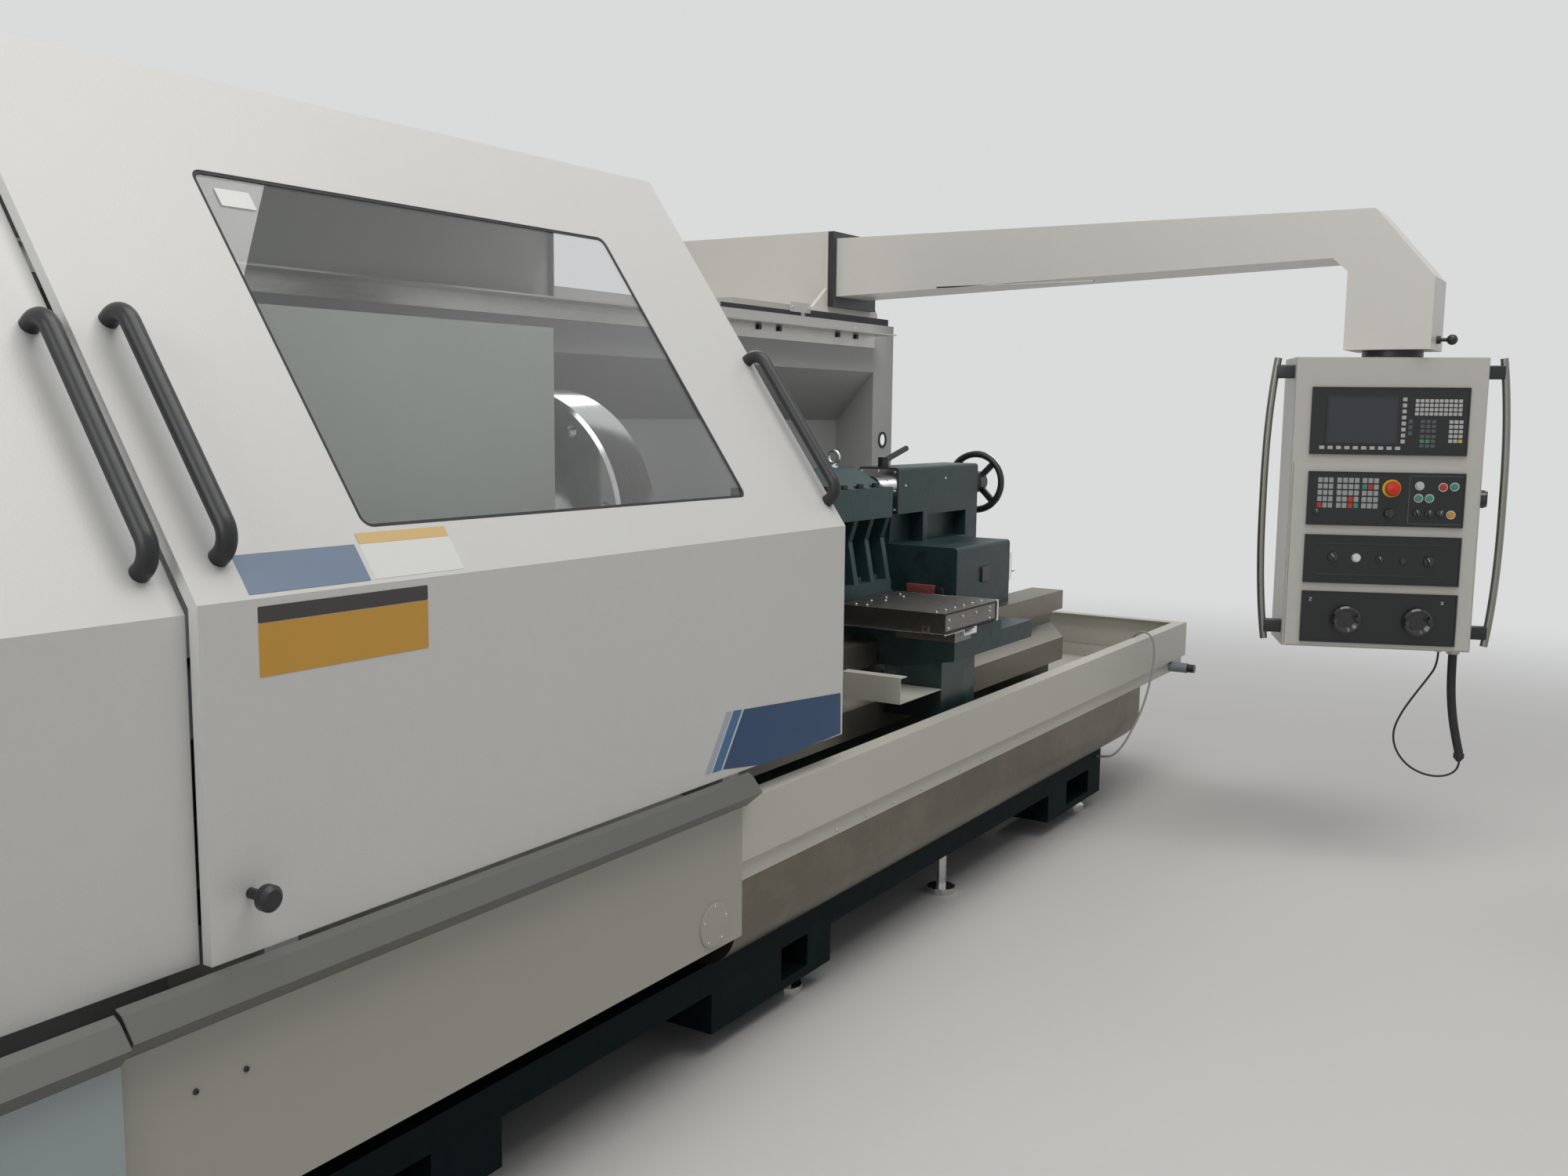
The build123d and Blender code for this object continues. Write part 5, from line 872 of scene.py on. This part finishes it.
# Places on the boring bar holder
HOLDER_STATIONS = (845.5, 948.5, 1051.5, 1154.5)
HOLDER_BAYS = (841.0, 947.0, 1053.0, 1159.0)
HOLDER_SEAT = 1253.0
HOLDER_FOOT = 955.0
SEAT_BOLT_SIDE = 144
FOOT_BOLT_SIDE = 138
CROWN_TOP = 1321.0
EYE_X = 1128


class LATHE_OT_cross_slide(bpy.types.Operator):
    """Fit the holder's bolts and lifting eye"""

    bl_idname = "lathe.cross_slide"
    bl_label = "Boring bar holder"

    def execute(self, context):
        head = settings().cap_screw / 2
        piece("holder_bolts", "cross_slide", "black_metal", "black plastic",
              *(screw((x, side * SEAT_BOLT_SIDE, HOLDER_SEAT), Z, X, head, 20, 0.55)
                for x in HOLDER_STATIONS for side in (-1, 1)),
              *(screw((x, side * FOOT_BOLT_SIDE, HOLDER_FOOT), Z, X, head, 18, 0.55)
                for x in HOLDER_BAYS for side in (-1, 1)))
        piece("lifting_eye", "cross_slide", "chrome", "chrome",
              turned(((15, 0), (15, 3), (12, 6), (7, 8), (6, 13)), (EYE_X, 0, CROWN_TOP - 1),
                     Z, X),
              torus(20, 5, (EYE_X, 0, CROWN_TOP + 33), X, Y))
        return {"FINISHED"}


# Places on the tailstock
QUILL_PLATE = (1437.0, 0.0, 1231.0)
PLATE_SCREW_X = 1432.5
PLATE_SCREWS = ((-66, 1296), (66, 1296), (-66, 1231), (66, 1231), (-66, 1166), (66, 1166),
                (0, 1299))
BARREL_PLUGS = ((1489, -79, 1249), (1804, -79, 1265))
WHEEL_X = 2240


class LATHE_OT_tailstock(bpy.types.Operator):
    """Fit the tailstock's wiper plate, plugs and oiler, and the handwheel's bright rim"""

    bl_idname = "lathe.tailstock"
    bl_label = "Tailstock"

    def execute(self, context):
        head = settings().sheet_screw / 2
        outline = rounded(150, 150, 6)
        reach = np.linalg.norm(outline, axis=1)[:, None]
        for name, body, slot, finish_name, *stacks in (
                ("quill_gasket", "tailstock", "rubber", "black rubber",
                 frame_of(outline * 1.05, outline * 60 / reach, 1.5, QUILL_PLATE, -X, -Y)),
                ("quill_plate", "tailstock", "chrome", "polished steel",
                 frame_of(outline, outline * 53 / reach, 4.5, QUILL_PLATE, -X, -Y)),
                ("quill_plate_screws", "tailstock", "ground_steel", "screw steel",
                 *(screw((PLATE_SCREW_X, y, z), -X, -Y, head, 3) for y, z in PLATE_SCREWS)),
                ("tail_oiler", "tailstock", "chrome", "chrome",
                 box(1900, 1925, -300, -262, 895, 995, 3),
                 turned(((7, 0), (7, 12), (4, 14), (4, 20)), (1912, -280, 995), Z, X, 16),
                 turned(((4, 0), (4, 36), (6, 38), (6, 48)), (1925, -285, 925), X, Y, 16),
                 *(turned(((5, 0), (5, 1.5), (3, 3)), place, -Y, X, 16)
                   for place in BARREL_PLUGS)),
                ("tail_plug", "tailstock", "black_metal", "black plastic",
                 plate(60, 56, 7, 6, (1680, -300, 938), -Y, X, 2),
                 box(1430, 1455, -262, -232, 884, 908, 3)),
                ("wheel_edge", "handwheel", "chrome", "chrome",
                 torus(121, 2.5, (WHEEL_X, 0, SPINDLE_Z), X, Y, 64)),
                ("way_wiper", "tailstock", "rubber", "wiper felt",
                 box(1437, 1455, -224, -116, 883, 914, 5, 2))):
            piece(name, body, slot, finish_name, *stacks)
        return {"FINISHED"}


# The pendant's panels, top down: lower edge and height, and where their faces stand
PANELS = ((1381, 219), (1149, 176), (957, 160), (759, 170))
PANEL_LEFT = -267.5
PANEL_FACES = (-142.0, -154.0, -154.0, -154.0)
SCREEN_PANEL, MACHINE_PANEL, SWITCH_PANEL, WHEEL_PANEL = range(4)

# Key blocks: first key, pitch, columns and rows, size of a key, and the keys that are skipped
SCREEN_KEYS = (
    ("light_keys", "light key", (
        ((286, 39), (0, 19.4), (1, 8), (13, 12)), ((38, 197), (26, 0), (10, 1), (16, 11)),
        ((324, 43), (14.5, 14), (10, 4), (11.5, 10.5)),
        ((430, 110), (15, 15.4), (3, 5), (12, 11), {(2, 4)}))),
    ("dark_keys", "dark key", (
        ((344, 110), (17, 15), (3, 3), (13, 11)),
        ((344, 158), (17, 15), (3, 3), (13, 11), {(0, 1), (1, 1)}),
        ((307, 110), (0, 19), (1, 3), (13, 13)))),
    ("green_keys", "green key", (((344, 173), (17, 0), (2, 1), (13, 11)),)),
    ("yellow_key", "yellow key", (((460, 171.6), (0, 0), (1, 1), (12, 11)),)),
)
GREY_KEYS = (
    ((38, 28), (17, 20.7), (3, 5), (13.5, 16), {(0, 4)}),
    ((98, 28), (18, 20.7), (4, 5), (14.5, 16), {(2, 3), (2, 4), (3, 4)}),
    ((176, 28), (18, 20.7), (3, 5), (14.5, 16), {(0, 1), (1, 1)}))
RED_KEYS = (
    ((38, 110.8), (0, 0), (1, 1), (13.5, 16)), ((134, 90.1), (0, 20.7), (1, 2), (14.5, 16)),
    ((194, 48.7), (0, 0), (1, 1), (14.5, 16)))
GREEN_KEYS = (
    ((152, 110.8), (0, 0), (1, 1), (14.5, 16)), ((176, 48.7), (0, 0), (1, 1), (14.5, 16)))

# Buttons, lamps and selectors, across and down from a panel's upper left corner
CLEAR_BUTTON = (344, 42)
RED_BUTTON = (415, 45)
AMBER_BUTTON = (444, 134)
GREEN_BUTTONS = ((450, 43), (343, 82), (376, 82))
BUTTON_RADIUS = 11
WHITE_LAMP = (163, 74)
BLACK_BUTTON = (309, 81)
TRIM_RAILS = ((236, 29), (236, 131))
MACHINE_SELECTORS = ((MACHINE_PANEL, 341, 130, 13, 1.9), (MACHINE_PANEL, 377, 130, 13, 1.57),
                     (MACHINE_PANEL, 411, 130, 13, 1.3), (MACHINE_PANEL, 29, 132, 11, 1.57))
SWITCHES = ((SWITCH_PANEL, 91, 72, 17, 2.2), (SWITCH_PANEL, 387, 80, 17, 2.0),
            (SWITCH_PANEL, 236, 76, 12, 1.9))
STOP_PLACE = (-8, PANEL_FACES[MACHINE_PANEL], 1273)
SIDE_SWITCH = (269, -70, 1240)
SIDE_BUTTON = (269, -70, 1333)

# Axis letters: where each stands on the panel, and its strokes about that place
AXIS_LETTERS = (((28, 28), (((-4, 5), (4, 5)), ((4, 5), (-4, -5)), ((-4, -5), (4, -5)))),
                ((437, 28), (((-4, 5), (4, -5)), ((4, 5), (-4, -5)))))

# Bowed grips beside the pendant's box
PENDANT_HALF = 295.0
GRIP_ENDS = (800.0, 1650.0)
GRIP_Y = -91.0
GRIP_REACH = 52.0
GRIP_BOW = 26.0
GRIP_PAST = 45.0
GRIP_RADIUS = 12.0


def on_panel(panel, across, down):
    """Place on a control panel, from its left and top edges."""
    low, height = PANELS[panel]
    return pendant((PANEL_LEFT + across, PANEL_FACES[panel], low + height - down))


def panel_plate(width, height, depth, radius, place, edge):
    """Plate that lies on the pendant's face."""
    return plate(width, height, depth, radius, place, PENDANT_OUT, PENDANT_RIGHT, edge)


def panel_ring(outer, inner, depth, place):
    """Flat frame that lies on the pendant's face."""
    return frame_of(outer, inner, depth, place, PENDANT_OUT, PENDANT_RIGHT)


def key_block(panel, first, pitch, counts, size, skip=()):
    """Keys on a grid that starts at the first one, but for the skipped ones."""
    return [panel_plate(*size, 1.4, 1.2, on_panel(panel, first[0] + pitch[0] * column,
                                                  first[1] + pitch[1] * row), 0.5)
            for column in range(counts[0]) for row in range(counts[1])
            if (column, row) not in skip]


def keys(panel, blocks):
    """All keys of several blocks on one panel."""
    return [key for block in blocks for key in key_block(panel, *block)]


def button(panel, across, down, radius=BUTTON_RADIUS, height=9.0):
    """Round push button on a panel: a drum with a soft rim and a shallow dish."""
    return turned(((radius, 0), (radius, height * 0.7), (radius * 0.9, height * 0.95),
                   (radius * 0.7, height), (radius * 0.3, height * 0.93)),
                  on_panel(panel, across, down), PENDANT_OUT, PENDANT_RIGHT, 20)


def bezel(panel, across, down, outer, inner):
    """Plain ring round a button."""
    return panel_ring(circle(24) * outer, circle(24) * inner, 3.0,
                      on_panel(panel, across, down))


def turned_right(turn):
    """Direction across the pendant's face, at an angle from its right."""
    return PENDANT_RIGHT * cos(turn) + Z * sin(turn)


def pointer(panel, across, down, radius, turn):
    """White line on the end of a selector's bar handle."""
    along = turned_right(turn)
    place = on_panel(panel, across, down) + PENDANT_OUT * 18 + along * radius * 0.45
    return plate(radius * 0.8, 1.6, 0.5, 0.4, place, PENDANT_OUT, along, 0.1)


def selectors(stations):
    """Selector switches: each is a collar and a bar handle that is turned on it."""
    made = []
    for panel, across, down, radius, turn in stations:
        centre = on_panel(panel, across, down)
        made += [turned(((radius, 0), (radius, 5), (radius * 0.92, 7), (radius * 0.5, 7.5)),
                        centre, PENDANT_OUT, PENDANT_RIGHT, 24),
                 plate(radius * 1.8, radius * 0.62, 12, radius * 0.25,
                       centre + PENDANT_OUT * 6, PENDANT_OUT, turned_right(turn), 1.5)]
    return made


def stroke(across, down, start, end):
    """One straight stroke of an axis letter on the handwheel panel, as a thin plate."""
    line = np.subtract(end, start).astype(float)
    long = np.linalg.norm(line)
    along = (PENDANT_RIGHT * line[0] + Z * line[1]) / long
    middle = np.add(start, end) / 2
    place = on_panel(WHEEL_PANEL, across + middle[0], down - middle[1])
    return plate(long + 1.2, 1.3, 0.4, 0.3, place, PENDANT_OUT, along, 0.1)


def grip_wall(side):
    """The pendant box's left or right wall, across from the swivel axis."""
    return PENDANT_CENTRE + side * PENDANT_HALF


def grip_bar(side):
    """Bowed bar: a circle carried along reach + bow (1 - |2t - 1|^2.6) from the wall."""
    steps = np.linspace(0, 1, 41)
    bow = 1 - np.abs(2 * steps - 1) ** 2.6
    low, high = GRIP_ENDS
    path = np.stack([grip_wall(side) + side * (GRIP_REACH + GRIP_BOW * bow),
                     np.full(len(steps), GRIP_Y),
                     low - GRIP_PAST + (high - low + 2 * GRIP_PAST) * steps], axis=1)
    return carried(circle(16) * GRIP_RADIUS, pendant(path), PENDANT_IN)


def grip_block(side, z):
    """Block between the pendant's wall and one end of a grip."""
    return plate(28, 44, GRIP_REACH + 4, 5, pendant((grip_wall(side), GRIP_Y, z)),
                 side * PENDANT_RIGHT, PENDANT_IN, 2)


def panel_piece(name, finish_name, *stacks, slot="panel_plastic"):
    """A piece that swivels with the pendant."""
    return piece(name, "pendant", slot, finish_name, *stacks)


class LATHE_OT_screen_panel(bpy.types.Operator):
    """Fit the pendant's screen panel with its display and keys"""

    bl_idname = "lathe.screen_panel"
    bl_label = "Screen panel"

    def execute(self, context):
        middle = on_panel(SCREEN_PANEL, 160, 106)
        panel_piece("screen_bezel", "black plastic",
                    panel_ring(rounded(226, 161, 4), rounded(214, 149, 3), 3, middle))
        panel_piece("screen", "screen", panel_plate(215, 150, 1, 3, middle, 0.3))
        for name, finish_name, blocks in SCREEN_KEYS:
            panel_piece(name, finish_name, *keys(SCREEN_PANEL, blocks))
        return {"FINISHED"}


class LATHE_OT_machine_panel(bpy.types.Operator):
    """Fit the pendant's machine keys, buttons and switches"""

    bl_idname = "lathe.machine_panel"
    bl_label = "Machine panel"

    def execute(self, context):
        panel_piece("machine_keys", "grey key", *keys(MACHINE_PANEL, GREY_KEYS))
        panel_piece("red_keys", "red key", *keys(MACHINE_PANEL, RED_KEYS),
                    button(MACHINE_PANEL, *RED_BUTTON), slot="stop_red")
        panel_piece("green_buttons", "green button", *keys(MACHINE_PANEL, GREEN_KEYS),
                    *(button(MACHINE_PANEL, *place) for place in GREEN_BUTTONS))
        panel_piece("sub_panel", "panel line",
                    panel_ring(rounded(168, 158, 3), rounded(164, 154, 2), 1.2,
                               on_panel(MACHINE_PANEL, 397, 88)))
        ringed = (CLEAR_BUTTON, RED_BUTTON, *GREEN_BUTTONS, AMBER_BUTTON)
        panel_piece("button_rings", "screw steel",
                    *(bezel(MACHINE_PANEL, *place, 14, 11.5) for place in ringed),
                    slot="chrome")
        panel_piece("clear_button", "clear lens", button(MACHINE_PANEL, *CLEAR_BUTTON))
        panel_piece("selectors", "gloss black", *selectors(MACHINE_SELECTORS),
                    slot="black_metal")
        panel_piece("pointers", "white line",
                    *(pointer(*station) for station in MACHINE_SELECTORS))
        panel_piece("amber_button", "amber lens", button(MACHINE_PANEL, *AMBER_BUTTON))
        panel_piece("stop_collar", "stop yellow",
                    panel_ring(circle(32) * 29, circle(32) * 19, 1.5, pendant(STOP_PLACE)))
        return {"FINISHED"}


class LATHE_OT_switch_panel(bpy.types.Operator):
    """Fit the pendant's lower switches, lamp, trim rails, bowed grips and axis letters"""

    bl_idname = "lathe.switch_panel"
    bl_label = "Switch panel"

    def execute(self, context):
        panel_piece("trim_rails", "dark trim",
                    *(panel_plate(400, 5, 3, 1, on_panel(SWITCH_PANEL, *place), 0.8)
                      for place in TRIM_RAILS))
        panel_piece("lower_switches", "gloss black", *selectors(SWITCHES),
                    button(SWITCH_PANEL, *BLACK_BUTTON, height=7), slot="black_metal")
        panel_piece("lower_pointers", "white line", *(pointer(*station) for station in SWITCHES))
        panel_piece("white_lamp", "white lens", button(SWITCH_PANEL, *WHITE_LAMP, 12, 12))
        panel_piece("lamp_ring", "screw steel", bezel(SWITCH_PANEL, *WHITE_LAMP, 14.5, 12.3),
                    slot="chrome")
        bars = panel_piece("grip_bars", "grip metal", grip_bar(-1), grip_bar(1), slot="chrome")
        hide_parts("pendant_grips")
        panel_piece("grip_blocks", "black plastic",
                    *(grip_block(side, z) for side in (-1, 1) for z in GRIP_ENDS),
                    slot="black_metal")
        panel_piece("axis_letters", "white line",
                    *(stroke(*place, *ends) for place, strokes in AXIS_LETTERS
                      for ends in strokes))
        side = pendant(SIDE_SWITCH)
        panel_piece("main_switch", "gloss black",
                    turned(((36, 0), (36, 5), (33, 7), (30, 7), (30, 26), (27, 30)), side,
                           PENDANT_RIGHT, PENDANT_IN, 32),
                    plate(14, 52, 36, 4, side, PENDANT_RIGHT, PENDANT_IN, 2),
                    turned(((9, 0), (9, 10), (7, 13)), pendant(SIDE_BUTTON), PENDANT_RIGHT,
                           PENDANT_IN, 20), slot="black_metal")
        return {"FINISHED"}


def area_light(name, place_mm, aim_mm, size, power, colour):
    """A soft square lamp aimed at a point."""
    data = bpy.data.lights.new(name, "AREA")
    data.shape = "RECTANGLE"
    data.size, data.size_y = size
    data.energy = power
    data.color = colour
    lamp = bpy.data.objects.new(name, data)
    start, end = Vector(at(place_mm)), Vector(at(aim_mm))
    lamp.location = start
    lamp.rotation_euler = (end - start).to_track_quat("-Z", "Y").to_euler()
    bpy.context.scene.collection.objects.link(lamp)


BACKDROP = (0.70, 0.71, 0.71, 1)
CAMERA_PLACE = (-2870.0, -2350.0, 1500.0)
CAMERA_RIGHT = (0.5372, -0.8434, 0.0106)
CAMERA_FORWARD = (0.8376, 0.5319, -0.1246)
CAMERA_LENS = 32.21
FADE_START, FADE_END = 3.8, 9.0

# Lamps: place and aim in drawing millimetres, size in metres, power in watts, and colour
LAMPS = (
    ("key", (-400, -2300, 7400), (200, -300, 900), (7.0, 5.0), 340, (1.0, 0.985, 0.96)),
    ("left fill", (-7500, -900, 4200), (500, -300, 1300), (4.0, 4.0), 150, (0.97, 0.98, 1.0)),
    ("rim", (3500, 4200, 5200), (500, 0, 1200), (5.0, 3.0), 130, (1.0, 1.0, 1.0)),
)


def seen_rays(wire):
    """One for the rays by which the background shows, and nothing for those that light."""
    rays = wire.node("ShaderNodeLightPath")
    return wire.math("MAXIMUM", rays.outputs["Is Camera Ray"],
                     wire.math("MAXIMUM", rays.outputs["Is Glossy Ray"],
                               rays.outputs["Is Transmission Ray"]))


def floor_finish():
    """Pale floor that fades to the background's colour between two distances in metres."""
    made = finish("floor")
    wire = Wiring(made.node_tree)
    where = wire.node("ShaderNodeTexCoord").outputs["Object"]
    far = wire.node("ShaderNodeVectorMath", {0: where}, operation="LENGTH").outputs["Value"]
    fade = wire.node("ShaderNodeMapRange", {"Value": far, "From Min": FADE_START,
                                            "From Max": FADE_END},
                     interpolation_type="SMOOTHSTEP").outputs["Result"]
    glow = wire.node("ShaderNodeEmission", {"Color": BACKDROP, "Strength": 1.0})
    both = wire.node("ShaderNodeMixShader", {
        0: wire.math("MULTIPLY", fade, seen_rays(wire)),
        1: made.node_tree.nodes["Principled BSDF"].outputs[0], 2: glow.outputs[0]})
    out = made.node_tree.nodes["Material Output"]
    made.node_tree.links.new(both.outputs[0], out.inputs["Surface"])
    return made


class LATHE_OT_stage(bpy.types.Operator):
    """Floor, soft light and the camera"""

    bl_idname = "lathe.stage"
    bl_label = "Stage"

    def execute(self, context):
        stage = context.scene.lathe_stage
        half = stage.floor_size / 2
        mesh = bpy.data.meshes.new("floor")
        mesh.from_pydata([(-half, -half, 0), (half, -half, 0), (half, half, 0),
                          (-half, half, 0)], [], [(0, 1, 2, 3)])
        floor = bpy.data.objects.new("floor", mesh)
        context.scene.collection.objects.link(floor)
        mesh.materials.append(floor_finish())
        world = bpy.data.worlds.new("studio")
        world.use_nodes = True
        context.scene.world = world
        wire = Wiring(world.node_tree)
        light = world.node_tree.nodes["Background"]
        light.inputs["Color"].default_value = (0.93, 0.96, 1.0, 1)
        light.inputs["Strength"].default_value = stage.sky_strength
        seen = wire.node("ShaderNodeBackground", {"Color": BACKDROP, "Strength": 1.0})
        both = wire.node("ShaderNodeMixShader", {0: seen_rays(wire), 1: light.outputs[0],
                                                 2: seen.outputs[0]})
        out = world.node_tree.nodes["World Output"]
        world.node_tree.links.new(both.outputs[0], out.inputs["Surface"])
        for lamp in LAMPS:
            area_light(*lamp)
        context.scene.view_settings.view_transform = "Standard"
        data = bpy.data.cameras.new("camera")
        data.sensor_width = 36.0
        data.lens = CAMERA_LENS
        data.clip_start = 0.05
        data.clip_end = 200.0
        camera = bpy.data.objects.new("camera", data)
        right, forward = Vector(CAMERA_RIGHT), Vector(CAMERA_FORWARD)
        up = right.cross(forward)
        turn = Matrix((right, up, -forward)).transposed().to_4x4()
        camera.matrix_world = Matrix.Translation(Vector(at(CAMERA_PLACE))) @ turn
        context.scene.collection.objects.link(camera)
        context.scene.camera = camera
        return {"FINISHED"}


class LATHE_PT_looks(bpy.types.Panel):
    """Sidebar panel with the settings and the steps"""

    bl_label = "Turning lathe"
    bl_idname = "LATHE_PT_looks"
    bl_space_type = "VIEW_3D"
    bl_region_type = "UI"
    bl_category = "Lathe"

    def draw(self, context):
        for group in (context.scene.lathe_looks, context.scene.lathe_stage):
            for name in group.__annotations__:
                self.layout.prop(group, name)
        for step in STEPS:
            self.layout.operator(step.bl_idname)


STEPS = (LATHE_OT_paint_frame, LATHE_OT_cords, LATHE_OT_front, LATHE_OT_right_door,
         LATHE_OT_saddle, LATHE_OT_cross_slide, LATHE_OT_tailstock,
         LATHE_OT_screen_panel, LATHE_OT_machine_panel, LATHE_OT_switch_panel,
         LATHE_OT_stage)
CLASSES = (LatheLooks, StageSettings, *STEPS, LATHE_PT_looks)


def register():
    for made in CLASSES:
        bpy.utils.register_class(made)
    bpy.types.Scene.lathe_looks = PointerProperty(type=LatheLooks)
    bpy.types.Scene.lathe_stage = PointerProperty(type=StageSettings)


def unregister():
    del bpy.types.Scene.lathe_stage
    del bpy.types.Scene.lathe_looks
    for made in reversed(CLASSES):
        bpy.utils.unregister_class(made)


def main():
    register()
    for step in STEPS:
        group, name = step.bl_idname.split(".")
        getattr(getattr(bpy.ops, group), name)()


if __name__ == "__main__":
    main()
